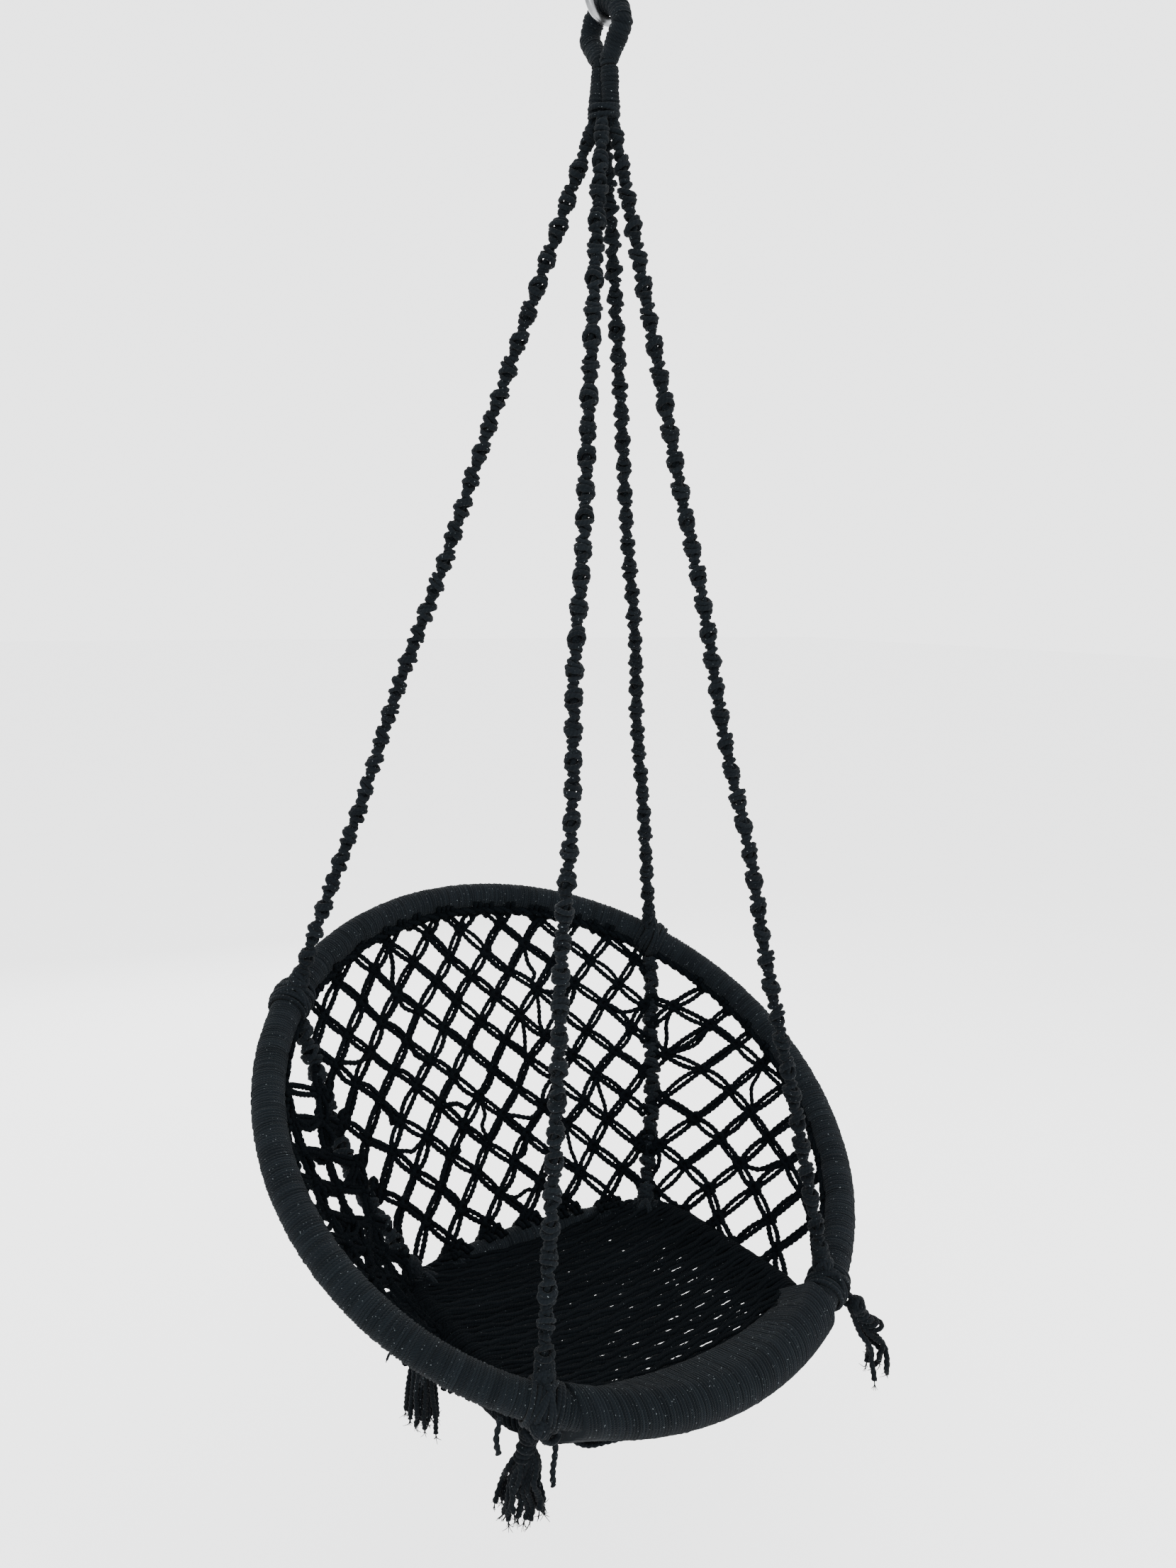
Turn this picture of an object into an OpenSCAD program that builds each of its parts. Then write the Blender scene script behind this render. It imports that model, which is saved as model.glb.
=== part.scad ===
// Hanging knotted-cord hoop chair on a ceiling hook.
// Millimetres, +Z up, the front of the seat faces -Y. The origin is on the hook's shank,
// at the level of the ceiling that the shank screws into.

/* [Hook] */
// Diameter of the hook's round bar and threaded shank
hook_bar_d = 10; // [8:1:11]
// Radius of the hook's bend, to the middle of the bar
hook_bend_r = 24; // [24:1:28]
// Length of shank above the ceiling line
shank_up = 30; // [20:5:60]
// Length of straight shank below the ceiling line
shank_down = 24; // [20:1:40]

/* [Hanging loop] */
// Outer diameter of the cord-wrapped loop bundle
loop_d = 24; // [22:1:24]
// Radius of the loop's crown, to the middle of the bundle
loop_crown_r = 30; // [26:1:34]
// Height of the wrapped neck under the loop
neck_h = 53; // [40:1:70]
// Outer diameter of the wrapped neck
neck_d = 34; // [32:1:38]

/* [Big hoop] */
// Radius of the big hoop, to the middle of its tube
big_r = 380; // [360:5:400]
// Slope of the big hoop, front edge low
big_tilt = 33.8; // [30:0.1:38]
// Height of the big hoop's centre
big_z = -1356; // [-1400:1:-1300]
// Distance of the big hoop's centre behind the hanging line
big_y = 32; // [0:1:40]

/* [Seat hoop] */
// Half the width of the rounded-square seat hoop, to the middle of its tube
seat_half_w = 200; // [190:5:210]
// Front edge of the seat hoop, to the middle of its tube
seat_front_y = -243; // [-244:1:-240]
// Rear edge of the seat hoop, to the middle of its tube
seat_rear_y = 135; // [110:5:160]
// Height of the seat hoop
seat_z = -1577; // [-1585:1:-1576]
// Radius of the bowed front and rear runs
seat_bow_r = 450; // [420:10:500]
// Radius of the four corners
seat_corner_r = 75; // [70:5:80]

/* [Tubes and cord] */
// Outside diameter of the steel tube inside both hoops
tube_d = 28; // [25:1:30]
// Wall of the steel tube
tube_wall = 1.5; // [1:0.1:2]
// Outside diameter of the cord wrap over the tube
wrap_d = 40; // [38:1:42]
// Diameter of the knotted hanging ropes
rope_d = 24; // [20:1:26]
// Thickness of the knotted net
net_t = 8; // [6:1:12]
// Thickness of the seat's woven cords
seat_t = 10; // [8:1:14]

/* [Hidden] */
$fn = 48;

left = -1;
right = 1;
gap = 0.3;                      // clear space between pieces that lie against each other
bar_r = hook_bar_d / 2;
loop_core_r = 8;                // cords inside the loop's wrap
hook_z = -shank_down - 2 * hook_bend_r;             // middle of the bar at the hook's lowest point
crown_z = hook_z - (loop_crown_r - loop_d / 2) + bar_r + 0.4;
throat_y = 8.5;                 // half the spacing of the loop's legs where they close
throat_z = crown_z - 26;
throat_r = 16.5;
throat_leg_r = 9;               // radius of a leg where it closes on the other
throat_cone_h = 3.6;            // height of the throat's rounded lower end
throat_cone_r = 5;
throat_core_h = 6.6;            // height of the hollow for the cords' gathered ends
throat_bottom = hook_z - 47.6;  // lowest point of the loop's throat
sway_z = throat_bottom - 0.7;   // the neck rocks sideways about this height
neck_top = sway_z - 0.7;
neck_bottom = neck_top - neck_h;
neck_core_r = 11;
rope_top = neck_bottom - 4;     // where the four ropes leave the neck
rope_neck_r = 7.5;              // unknotted cords at the top of each rope
rope_neck_h = 70;
rope_swell_h = 20;              // length over which a rope swells to its knotted width
rope_spread = 8;                // offset of each rope from the hanging line at the neck
rope_end_gap = 33;              // the ropes stop this far from the middle of a hoop's tube

lash_in = wrap_d / 2 + 0.5;
lash_out = wrap_d / 2 + 6.5;
front_rope_a = 33.2;            // where the front ropes meet the big hoop, degrees from its front
rear_rope_a = 130.9;            // where the rear ropes meet the big hoop
lash_half_a = 2.8;              // half the arc that a lashing covers on the big hoop
seat_lash_half_a = 14;          // half the arc that a lashing covers on a seat corner
seat_lash_a = 45;               // where the lower ropes meet the seat hoop's rear corners

// The seat hoop's run: a bowed front and rear, round corners and straight sides.
bow_half_a = asin((seat_half_w - seat_corner_r) / (seat_bow_r - seat_corner_r));
corner_x = seat_half_w - seat_corner_r;
bow_drop = seat_bow_r - cos(bow_half_a) * (seat_bow_r - seat_corner_r);
front_corner_y = seat_front_y + bow_drop;
rear_corner_y = seat_rear_y - bow_drop;
side_len = rear_corner_y - front_corner_y;
corner_len = seat_corner_r * (90 - bow_half_a) * PI / 180;
bow_len = seat_bow_r * bow_half_a * PI / 180;
lash_len = side_len + seat_corner_r * seat_lash_a * PI / 180;

// The direction outwards in the big hoop's plane, at an angle from its front towards +X.
function big_out(a) = [sin(a), -cos(a) * cos(big_tilt), -cos(a) * sin(big_tilt)];

// The direction square to the big hoop's plane, towards the seat.
big_down = [0, sin(big_tilt), -cos(big_tilt)];

// A point on the big hoop at such an angle.
function big_pt(a) = [0, big_y, big_z] + big_r * big_out(a);

// A point on the seat hoop, at a length s from the front end of its straight side to its rear,
// moved inwards by d.
function seat_pt(s, d = 0) =
    s < side_len ? [seat_half_w - d, front_corner_y + s, seat_z] :
    s < side_len + corner_len ?
        let (a = (s - side_len) / seat_corner_r * 180 / PI)
        [corner_x + (seat_corner_r - d) * cos(a), rear_corner_y + (seat_corner_r - d) * sin(a), seat_z] :
        let (a = bow_half_a - (s - side_len - corner_len) / seat_bow_r * 180 / PI)
        [(seat_bow_r - d) * sin(a), seat_rear_y - seat_bow_r + (seat_bow_r - d) * cos(a), seat_z];

function unit(v) = v / norm(v);
function mirror_x(p) = [-p[0], p[1], p[2]];
function lerp(a, b, t) = a + (b - a) * t;

// A straight round rod or cone between two points.
module rod(p, q, r1, r2) {
    v = q - p;
    translate(p) rotate([0, acos(v[2] / norm(v)), atan2(v[1], v[0])]) cylinder(h = norm(v), r1 = r1, r2 = r2);
}

// Places its children in the big hoop's plane, centred on the hoop.
module in_big_hoop() {
    translate([0, big_y, big_z]) rotate([big_tilt, 0, 0]) children();
}

// A ring or arc of pipe about Z, of radius r, from angle a0 over da degrees.
module pipe_arc(r, a0, da, r_out, r_in = 0) {
    rotate([0, 0, a0]) rotate_extrude(angle = da, $fn = 180) translate([r, 0]) difference() {
        circle(r_out);
        if (r_in > 0) circle(r_in);
    }
}

// Stations along the right half of the seat hoop, front to rear: x, y and heading in degrees.
bow_steps = 5;
corner_steps = 8;
seat_half = concat(
    [for (i = [0 : bow_steps - 1]) let (a = bow_half_a * i / bow_steps)
        [seat_bow_r * sin(a), seat_front_y + seat_bow_r * (1 - cos(a)), a]],
    [for (i = [0 : corner_steps]) let (a = lerp(bow_half_a, 90, i / corner_steps))
        [corner_x + seat_corner_r * sin(a), front_corner_y - seat_corner_r * cos(a), a]],
    [for (i = [0 : corner_steps]) let (a = lerp(90, 180 - bow_half_a, i / corner_steps))
        [corner_x + seat_corner_r * sin(a), rear_corner_y - seat_corner_r * cos(a), a]],
    [for (i = [1 : bow_steps]) let (a = lerp(180 - bow_half_a, 180, i / bow_steps))
        [seat_bow_r * sin(a), seat_rear_y - seat_bow_r * (1 + cos(a)), a]]);
seat_stations = concat(seat_half,
    [for (i = [len(seat_half) - 2 : -1 : 1]) [-seat_half[i][0], seat_half[i][1], 360 - seat_half[i][2]]]);

// A round bar swept once around the seat hoop's run.
module seat_run(r) {
    n = 16;
    m = len(seat_stations);
    points = [for (s = seat_stations, k = [0 : n - 1])
        let (out = r * cos(360 * k / n))
        [s[0] + out * sin(s[2]), s[1] - out * cos(s[2]), seat_z + r * sin(360 * k / n)]];
    function at(i, k) = (i % m) * n + k % n;
    polyhedron(points = points, faces = [for (i = [0 : m - 1], k = [0 : n - 1]) each [
        [at(i, k), at(i, k + 1), at(i + 1, k + 1)], [at(i, k), at(i + 1, k + 1), at(i + 1, k)]]]);
}

// ---- hook ----

hook_open_a = 170;              // where the bend ends, degrees round from +X towards the top
knuckle_r = bar_r + 0.8;        // swelling where the shank turns into the bend
shoulder_r = bar_r + 1.2;       // the shoulder that ends the threaded shank
shoulder_h = 5;
ball_tip_r = bar_r + 1.2;

module ceiling_hook() {
    bend_z = hook_z + hook_bend_r;
    color("silver") {
        translate([0, 0, -shank_down]) cylinder(h = shank_down + shank_up, r = bar_r);
        translate([0, 0, -shank_down]) sphere(knuckle_r);
        translate([0, 0, -shank_down]) cylinder(h = shoulder_h, r = shoulder_r);
        translate([0, 0, bend_z]) rotate([90, 0, 0])
            pipe_arc(hook_bend_r, hook_open_a - 360, 450 - hook_open_a, bar_r);
        translate([hook_bend_r * cos(hook_open_a), 0, bend_z + hook_bend_r * sin(hook_open_a)])
            sphere(ball_tip_r);
    }
}

// ---- hanging loop: cords inside a wrap, in the YZ plane ----

module loop_run(r, leg_r) {
    translate([0, 0, crown_z]) rotate([90, 0, 90]) pipe_arc(loop_crown_r, 0, 180, r);
    for (side = [-1, 1]) {
        translate([0, side * loop_crown_r, crown_z]) sphere(r);
        rod([0, side * loop_crown_r, crown_z], [0, side * throat_y, throat_z], r, leg_r);
    }
}

module loop_cords() {
    color("#20262a") intersection() {
        union() {
            loop_run(loop_core_r - gap, loop_core_r - gap);
            translate([0, 0, throat_z - 4]) cylinder(h = 6, r = neck_core_r);
        }
        translate([0, 0, throat_z + 36]) cube([120, 120, 80], center = true);
    }
}

module loop_wrap() {
    color("#2b3237") difference() {
        union() {
            loop_run(loop_d / 2, throat_leg_r);
            translate([0, 0, throat_bottom + throat_cone_h])
                cylinder(h = throat_z - throat_bottom, r = throat_r);
            translate([0, 0, throat_bottom]) cylinder(h = throat_cone_h, r1 = throat_cone_r, r2 = throat_r);
        }
        loop_run(loop_core_r, loop_core_r);
        translate([0, 0, throat_z - 4 - gap]) cylinder(h = throat_core_h, r = neck_core_r + gap);
    }
}

// ---- wrapped neck under the loop ----

module neck_cords() {
    color("#20262a") translate([0, 0, neck_bottom + 1]) cylinder(h = neck_h - 8, r = neck_core_r);
}

module neck_wrap() {
    color("#2b3237") difference() {
        union() {
            translate([0, 0, neck_bottom]) cylinder(h = neck_h - 4, r = neck_d / 2);
            translate([0, 0, neck_top - 4]) cylinder(h = 4, r1 = neck_d / 2, r2 = 4);
        }
        translate([0, 0, neck_bottom - 1]) cylinder(h = neck_h - 6, r = neck_core_r + gap);
    }
}

// ---- hoops: a steel tube inside a close wrap of cord ----

module big_hoop_tube() {
    color("dimgray") in_big_hoop() pipe_arc(big_r, 0, 360, tube_d / 2, tube_d / 2 - tube_wall);
}

module big_hoop_wrap() {
    color("#363d42") in_big_hoop() pipe_arc(big_r, 0, 360, wrap_d / 2, tube_d / 2 + gap);
}

module seat_hoop_tube() {
    color("dimgray") difference() {
        seat_run(tube_d / 2);
        seat_run(tube_d / 2 - tube_wall);
    }
}

module seat_hoop_wrap() {
    color("#363d42") difference() {
        seat_run(wrap_d / 2);
        seat_run(tube_d / 2 + gap);
    }
}

// ---- front binding: one wrap around both hoops ----

binding_half_w = 148;
binding_steps = 22;
binding_ring = 24;
binding_wall = 5;

// The offset from an ellipse's centre to its furthest point along a heading in the YZ plane.
function ellipse_reach(long, short, turn, heading) =
    let (u = cos(heading - turn), v = sin(heading - turn),
         k = sqrt(long * long * u * u + short * short * v * v),
         e = long * long * u / k, f = short * short * v / k)
    [e * cos(turn) - f * sin(turn), e * sin(turn) + f * cos(turn)];

// The seat hoop's front run at a distance x to the side: its place along Y and its heading's cosine.
function seat_front(x) = abs(x) < seat_bow_r * sin(bow_half_a) ?
    [seat_front_y + seat_bow_r - sqrt(seat_bow_r * seat_bow_r - x * x),
        cos(asin(x / seat_bow_r))] :
    [front_corner_y - sqrt(pow(seat_corner_r, 2) - pow(abs(x) - corner_x, 2)),
        cos(asin((abs(x) - corner_x) / seat_corner_r))];

// One section of the binding at x: a band drawn tight around both tubes, r from their middles.
function binding_section(x, r) =
    let (a = asin(x / big_r), p = big_pt(a), s = seat_front(x))
    [for (k = [0 : binding_ring - 1])
        let (heading = 360 * k / binding_ring, h = [cos(heading), sin(heading)],
             b = [p[1], p[2]] + ellipse_reach(r / cos(a), r, big_tilt, heading),
             c = [s[0], seat_z] + ellipse_reach(r / s[1], r, 0, heading),
             far = b * h > c * h ? b : c)
        [x, far[0], far[1]]];

module front_binding() {
    n = binding_ring;
    m = binding_steps;
    xs = [for (i = [0 : m]) lerp(-binding_half_w, binding_half_w, i / m)];
    outer = [for (x = xs) each binding_section(x, wrap_d / 2 + 0.6 + binding_wall)];
    inner = [for (x = xs) each binding_section(x, wrap_d / 2 + 0.6)];
    base = len(outer);
    function at(i, k) = i * n + k % n;
    walls = [for (i = [0 : m - 1], k = [0 : n - 1]) each [
        [at(i, k), at(i, k + 1), at(i + 1, k + 1)], [at(i, k), at(i + 1, k + 1), at(i + 1, k)],
        [base + at(i, k), base + at(i + 1, k + 1), base + at(i, k + 1)],
        [base + at(i, k), base + at(i + 1, k), base + at(i + 1, k + 1)]]];
    ends = [for (k = [0 : n - 1]) each [
        [at(0, k), base + at(0, k), base + at(0, k + 1)], [at(0, k), base + at(0, k + 1), at(0, k + 1)],
        [at(m, k), base + at(m, k + 1), base + at(m, k)], [at(m, k), at(m, k + 1), base + at(m, k + 1)]]];
    color("#363d42") polyhedron(points = concat(outer, inner), faces = concat(walls, ends));
}

// ---- ropes ----

// A knotted rope from the neck to the big hoop: plain cords at the top, then the knotted body.
module hanging_rope(side, fore, a) {
    start = [side * rope_spread, fore * rope_spread, rope_top];
    on_hoop = big_pt(side * a);
    way = unit(on_hoop - start);
    finish = on_hoop - way * rope_end_gap;
    len = norm(finish - start);
    color("#2b3237") translate(start) rotate([0, acos(way[2]), atan2(way[1], way[0])]) rotate_extrude()
        polygon([[0, 0], [rope_neck_r, 0], [rope_neck_r, rope_neck_h],
            [rope_d / 2, rope_neck_h + rope_swell_h], [rope_d / 2, len], [0, len]]);
}

module front_left_rope() { hanging_rope(left, -1, front_rope_a); }
module front_right_rope() { hanging_rope(right, -1, front_rope_a); }
module rear_left_rope() { hanging_rope(left, 1, rear_rope_a); }
module rear_right_rope() { hanging_rope(right, 1, rear_rope_a); }

// The rear ropes go on from the big hoop, through the net, to the seat hoop's rear corners.
module lower_rope(side) {
    top = big_pt(side * rear_rope_a);
    foot = side == left ? mirror_x(seat_pt(lash_len)) : seat_pt(lash_len);
    way = unit(foot - top);
    color("#2b3237") rod(top + way * rope_end_gap, foot - way * rope_end_gap, rope_d / 2, rope_d / 2);
}

module rear_left_lower_rope() { lower_rope(left); }
module rear_right_lower_rope() { lower_rope(right); }

// ---- lashings: the knots that hold the ropes on the hoops ----

module big_hoop_lashing(a) {
    color("#2b3237") in_big_hoop() pipe_arc(big_r, a - 90 - lash_half_a, 2 * lash_half_a, lash_out, lash_in);
}

module front_left_lashing() { big_hoop_lashing(left * front_rope_a); }
module front_right_lashing() { big_hoop_lashing(right * front_rope_a); }
module rear_left_lashing() { big_hoop_lashing(left * rear_rope_a); }
module rear_right_lashing() { big_hoop_lashing(right * rear_rope_a); }

module seat_hoop_lashing(side) {
    color("#2b3237") mirror([side == left ? 1 : 0, 0]) translate([corner_x, rear_corner_y, seat_z])
        pipe_arc(seat_corner_r, seat_lash_a - seat_lash_half_a, 2 * seat_lash_half_a, lash_out, lash_in);
}

module seat_left_lashing() { seat_hoop_lashing(left); }
module seat_right_lashing() { seat_hoop_lashing(right); }

// ---- net: three panels from the big hoop down to the seat hoop ----

net_top_gap = 27;               // the panels stop this far from the middle of each hoop's tube
net_rows = 4;
net_front_a = 42;               // first angle on the big hoop that the side panels cover
net_front_s = 14;               // first length on the seat hoop that the side panels cover
net_rope_a = 4.8;               // space beside the lower ropes on the big hoop
net_rope_s = 17;                // space beside the lower ropes on the seat hoop
side_cols = 13;
back_cols = 14;

// Column i of the right side panel, from its front to the lower rope: its top and bottom points.
function side_column(t) = [big_pt(lerp(net_front_a, rear_rope_a - net_rope_a, t)),
    seat_pt(lerp(net_front_s, lash_len - net_rope_s, t))];

// The back panel's columns, for t from 0 at its right edge to 1 at its left edge.
rear_half_len = side_len + corner_len + bow_len;
function back_column(t) =
    let (a = lerp(rear_rope_a + net_rope_a, 180, 2 * min(t, 1 - t)),
         s = lerp(lash_len + net_rope_s, rear_half_len, 2 * min(t, 1 - t)),
         top = big_pt(a), foot = seat_pt(s))
    t <= 0.5 ? [top, foot] : [mirror_x(top), mirror_x(foot)];

// Points down one column, clear of both hoops, shifted by half the net's thickness.
function net_column(col, along, shift) =
    let (way = unit(col[1] - col[0]), out = unit(cross(way, along)),
         p = col[0] + way * net_top_gap, q = col[1] - way * net_top_gap)
    [for (j = [0 : net_rows]) lerp(p, q, j / net_rows) + out * shift];

// A closed sheet over a list of columns, each with its front and back points.
module net_sheet(cols, count) {
    n = net_rows + 1;
    headings = [for (i = [0 : count]) unit(cols[min(i + 1, count)][0] - cols[max(i - 1, 0)][0]
        + cols[min(i + 1, count)][1] - cols[max(i - 1, 0)][1])];
    front = [for (i = [0 : count]) each net_column(cols[i], headings[i], net_t / 2)];
    back = [for (i = [0 : count]) each net_column(cols[i], headings[i], -net_t / 2)];
    base = len(front);
    function at(i, j) = i * n + j;
    skins = [for (i = [0 : count - 1], j = [0 : net_rows - 1]) each [
        [at(i, j), at(i + 1, j), at(i + 1, j + 1)], [at(i, j), at(i + 1, j + 1), at(i, j + 1)],
        [base + at(i, j), base + at(i + 1, j + 1), base + at(i + 1, j)],
        [base + at(i, j), base + at(i, j + 1), base + at(i + 1, j + 1)]]];
    sides = [for (j = [0 : net_rows - 1]) each [
        [at(0, j), at(0, j + 1), base + at(0, j + 1)], [at(0, j), base + at(0, j + 1), base + at(0, j)],
        [at(count, j), base + at(count, j + 1), at(count, j + 1)],
        [at(count, j), base + at(count, j), base + at(count, j + 1)]]];
    rims = [for (i = [0 : count - 1]) each [
        [at(i, 0), base + at(i, 0), base + at(i + 1, 0)], [at(i, 0), base + at(i + 1, 0), at(i + 1, 0)],
        [at(i, net_rows), base + at(i + 1, net_rows), base + at(i, net_rows)],
        [at(i, net_rows), at(i + 1, net_rows), base + at(i + 1, net_rows)]]];
    polyhedron(points = concat(front, back), faces = concat(skins, sides, rims));
}

module right_net() {
    color("#1d2327") net_sheet([for (i = [0 : side_cols]) side_column(i / side_cols)], side_cols);
}

module left_net() {
    color("#1d2327") mirror([1, 0])
        net_sheet([for (i = [0 : side_cols]) side_column(i / side_cols)], side_cols);
}

module back_net() {
    color("#1d2327") net_sheet([for (i = [0 : back_cols]) back_column(i / back_cols)], back_cols);
}

// ---- seat: woven cords inside the seat hoop ----

module seat_weave() {
    inset = lash_out + gap;
    steps = 40;
    rear = [for (i = [0 : steps]) seat_pt(lerp(0, rear_half_len, i / steps), inset)];
    front_corner = [for (i = [0 : 6]) let (a = lerp(0, 90 - bow_half_a, i / 6))
        [corner_x + (seat_corner_r - inset) * cos(a), front_corner_y - (seat_corner_r - inset) * sin(a)]];
    front_bow = [for (i = [0 : 6]) let (a = lerp(bow_half_a, 0, i / 6))
        [(seat_bow_r - inset) * sin(a), seat_front_y + seat_bow_r - (seat_bow_r - inset) * cos(a)]];
    half = concat([for (i = [6 : -1 : 1]) front_bow[i]], [for (i = [6 : -1 : 1]) front_corner[i]],
        [for (p = rear) [p[0], p[1]]]);
    outline = concat(half, [for (i = [len(half) - 2 : -1 : 1]) [-half[i][0], half[i][1]]]);
    color("#1d2327") translate([0, 0, seat_z - seat_t / 2]) linear_extrude(seat_t) polygon(outline);
}

// ---- tassels: each hangs from a lashing by its own knot ----

tassel_knot_r = 11;
tassel_clear = 3.4;             // space between a lashing and the tassel that hangs from it
tassel_drop = lash_out + tassel_clear + tassel_knot_r;  // from the middle of a hoop's tube to the knot
tassel_neck_h = 34;
tassel_neck_r = 9;
tassel_bell_h = 25;             // height over which the cords spread out below the neck
tassel_bell_r = 17;
tassel_foot_r = 24;

module tassel(knot, skirt_h) {
    color("#20262a") translate(knot) {
        sphere(tassel_knot_r);
        translate([0, 0, -tassel_neck_h]) cylinder(h = tassel_neck_h, r = tassel_neck_r);
        translate([0, 0, -tassel_neck_h - tassel_bell_h])
            cylinder(h = tassel_bell_h, r1 = tassel_bell_r, r2 = tassel_neck_r);
        translate([0, 0, -tassel_neck_h - skirt_h])
            cylinder(h = skirt_h - tassel_bell_h, r1 = tassel_foot_r, r2 = tassel_bell_r);
    }
}

front_left_lean = 0.3;          // how far the front left knot lies outwards, against 1 downwards
front_skirt_h = 66;
rear_skirt_h = 120;
module front_left_tassel() {
    a = left * front_rope_a;
    tassel(big_pt(a) + tassel_drop * unit(front_left_lean * big_out(a) + big_down), front_skirt_h);
}

// The front right tassel hangs outside its lashing, and the front left one under the inside of its own.
module front_right_tassel() {
    tassel(big_pt(right * front_rope_a) + tassel_drop * big_out(right * front_rope_a), front_skirt_h);
}
module rear_left_tassel() { tassel(mirror_x(seat_pt(lash_len)) - [0, 0, tassel_drop], rear_skirt_h); }
module rear_right_tassel() { tassel(seat_pt(lash_len) - [0, 0, tassel_drop], rear_skirt_h); }

// ---- loose cord ends that hang from the hoop and the binding ----

loose_cord_d = 6;
short_cord_route = [[-248, -212, -1541], [-248, -212, -1548], [-249, -212, -1555], [-251, -212, -1562],
    [-252, -213, -1569], [-251, -213, -1577], [-249, -213, -1585]];
long_cord_route = [[-187.4, -223.7, -1560], [-187.4, -223.7, -1569], [-187, -224, -1579], [-186, -225, -1589],
    [-186, -225, -1599], [-187, -225, -1609], [-188, -224, -1620], [-188, -224, -1630], [-187, -224, -1641]];

// A round tube swept along points that run roughly downwards.
module swept_cord(route, d) {
    n = 8;
    m = len(route) - 1;
    points = [for (p = route, k = [0 : n - 1]) p + d / 2 * [cos(360 * k / n), sin(360 * k / n), 0]];
    function at(i, k) = i * n + k % n;
    walls = [for (i = [0 : m - 1], k = [0 : n - 1]) each [
        [at(i, k), at(i, k + 1), at(i + 1, k + 1)], [at(i, k), at(i + 1, k + 1), at(i + 1, k)]]];
    ends = [[for (k = [n - 1 : -1 : 0]) k], [for (k = [0 : n - 1]) m * n + k]];
    polyhedron(points = points, faces = concat(walls, ends));
}

module short_loose_cord() { color("#20262a") swept_cord(short_cord_route, loose_cord_d); }
module long_loose_cord() { color("#20262a") swept_cord(long_cord_route, loose_cord_d); }

ceiling_hook();
loop_cords();
loop_wrap();
neck_cords();
neck_wrap();
big_hoop_tube();
big_hoop_wrap();
seat_hoop_tube();
seat_hoop_wrap();
front_binding();
front_left_rope();
front_right_rope();
rear_left_rope();
rear_right_rope();
rear_left_lower_rope();
rear_right_lower_rope();
front_left_lashing();
front_right_lashing();
rear_left_lashing();
rear_right_lashing();
seat_left_lashing();
seat_right_lashing();
left_net();
back_net();
right_net();
seat_weave();
front_left_tassel();
front_right_tassel();
rear_left_tassel();
rear_right_tassel();
short_loose_cord();
long_loose_cord();
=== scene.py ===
"""Looks of a hanging knotted-cord hoop chair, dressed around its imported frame.

Everything is in metres in the frame's own axes: +Z up, the front of the seat towards -Y and the origin
on the ceiling hook's shank. Sizes and places come from the frame's boxes.
"""
import logging
import math
import random
from dataclasses import dataclass, field
from enum import Enum
from typing import Callable

import bpy
import numpy as np
from mathutils import Matrix, Vector


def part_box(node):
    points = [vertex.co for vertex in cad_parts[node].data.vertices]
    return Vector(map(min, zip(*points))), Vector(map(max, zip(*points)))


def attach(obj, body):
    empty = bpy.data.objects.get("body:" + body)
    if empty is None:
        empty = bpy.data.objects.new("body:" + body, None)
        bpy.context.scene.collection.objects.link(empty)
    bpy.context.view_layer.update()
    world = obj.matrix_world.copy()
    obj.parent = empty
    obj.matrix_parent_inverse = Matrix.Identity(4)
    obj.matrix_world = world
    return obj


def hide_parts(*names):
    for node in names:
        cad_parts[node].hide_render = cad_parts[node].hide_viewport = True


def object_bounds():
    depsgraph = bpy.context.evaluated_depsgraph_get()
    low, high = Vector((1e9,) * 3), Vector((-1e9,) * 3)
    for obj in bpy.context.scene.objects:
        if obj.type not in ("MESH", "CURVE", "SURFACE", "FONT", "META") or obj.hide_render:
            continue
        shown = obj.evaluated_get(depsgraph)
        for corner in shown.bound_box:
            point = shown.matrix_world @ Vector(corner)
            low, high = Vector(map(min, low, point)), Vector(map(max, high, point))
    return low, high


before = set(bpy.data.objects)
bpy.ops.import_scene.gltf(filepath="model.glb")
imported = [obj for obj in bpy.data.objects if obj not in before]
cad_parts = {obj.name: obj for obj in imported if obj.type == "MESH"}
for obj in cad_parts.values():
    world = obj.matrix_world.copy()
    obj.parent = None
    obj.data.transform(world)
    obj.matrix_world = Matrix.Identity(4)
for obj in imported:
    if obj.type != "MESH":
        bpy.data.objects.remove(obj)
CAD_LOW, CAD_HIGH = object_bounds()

LOG = logging.getLogger("hoop_chair")
MM = 0.001
UP = np.array([0.0, 0.0, 1.0])
LEVEL = np.array([1, 1, 0])         # times a vector, it keeps the vector's level part
MIRROR = np.array([-1, 1, 1])       # times a place, it turns the right side into the left
CIRCLE = 2 * math.pi
ANY_PHASE = 6.28                    # random phases are drawn from 0 to this
Place = Callable[[float], np.ndarray]       # from a length along something to a place or direction there

WRAP_R = 20 * MM            # outside of the wound cord on both hoops
TURN_PITCH = 3.6 * MM       # one turn of the cord wound on a hoop
CORD_R = 2.8 * MM           # the twisted cotton cord that everything is knotted from
PLY_PITCH = 15 * MM         # length in which the cord's two plies go once round
TURN_PROFILE = ((0, 0), (0.22, 0.83), (0.5, 1.0), (0.78, 0.83))     # share of a wound turn, and height there
SEED = 11


class Side(Enum):
    """The left and right of the chair, as signs along X."""

    LEFT = -1
    RIGHT = 1

    @property
    def word(self) -> str:
        """The side's name as the nodes spell it."""
        return self.name.lower()


# ---- small geometry ----


def unit(v: np.ndarray) -> np.ndarray:
    """The vector v at length one."""
    return v / np.linalg.norm(v)


def lerp(a: float, b: float, t: float) -> float:
    """The value a share t of the way from a to b."""
    return a + (b - a) * t


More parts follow.
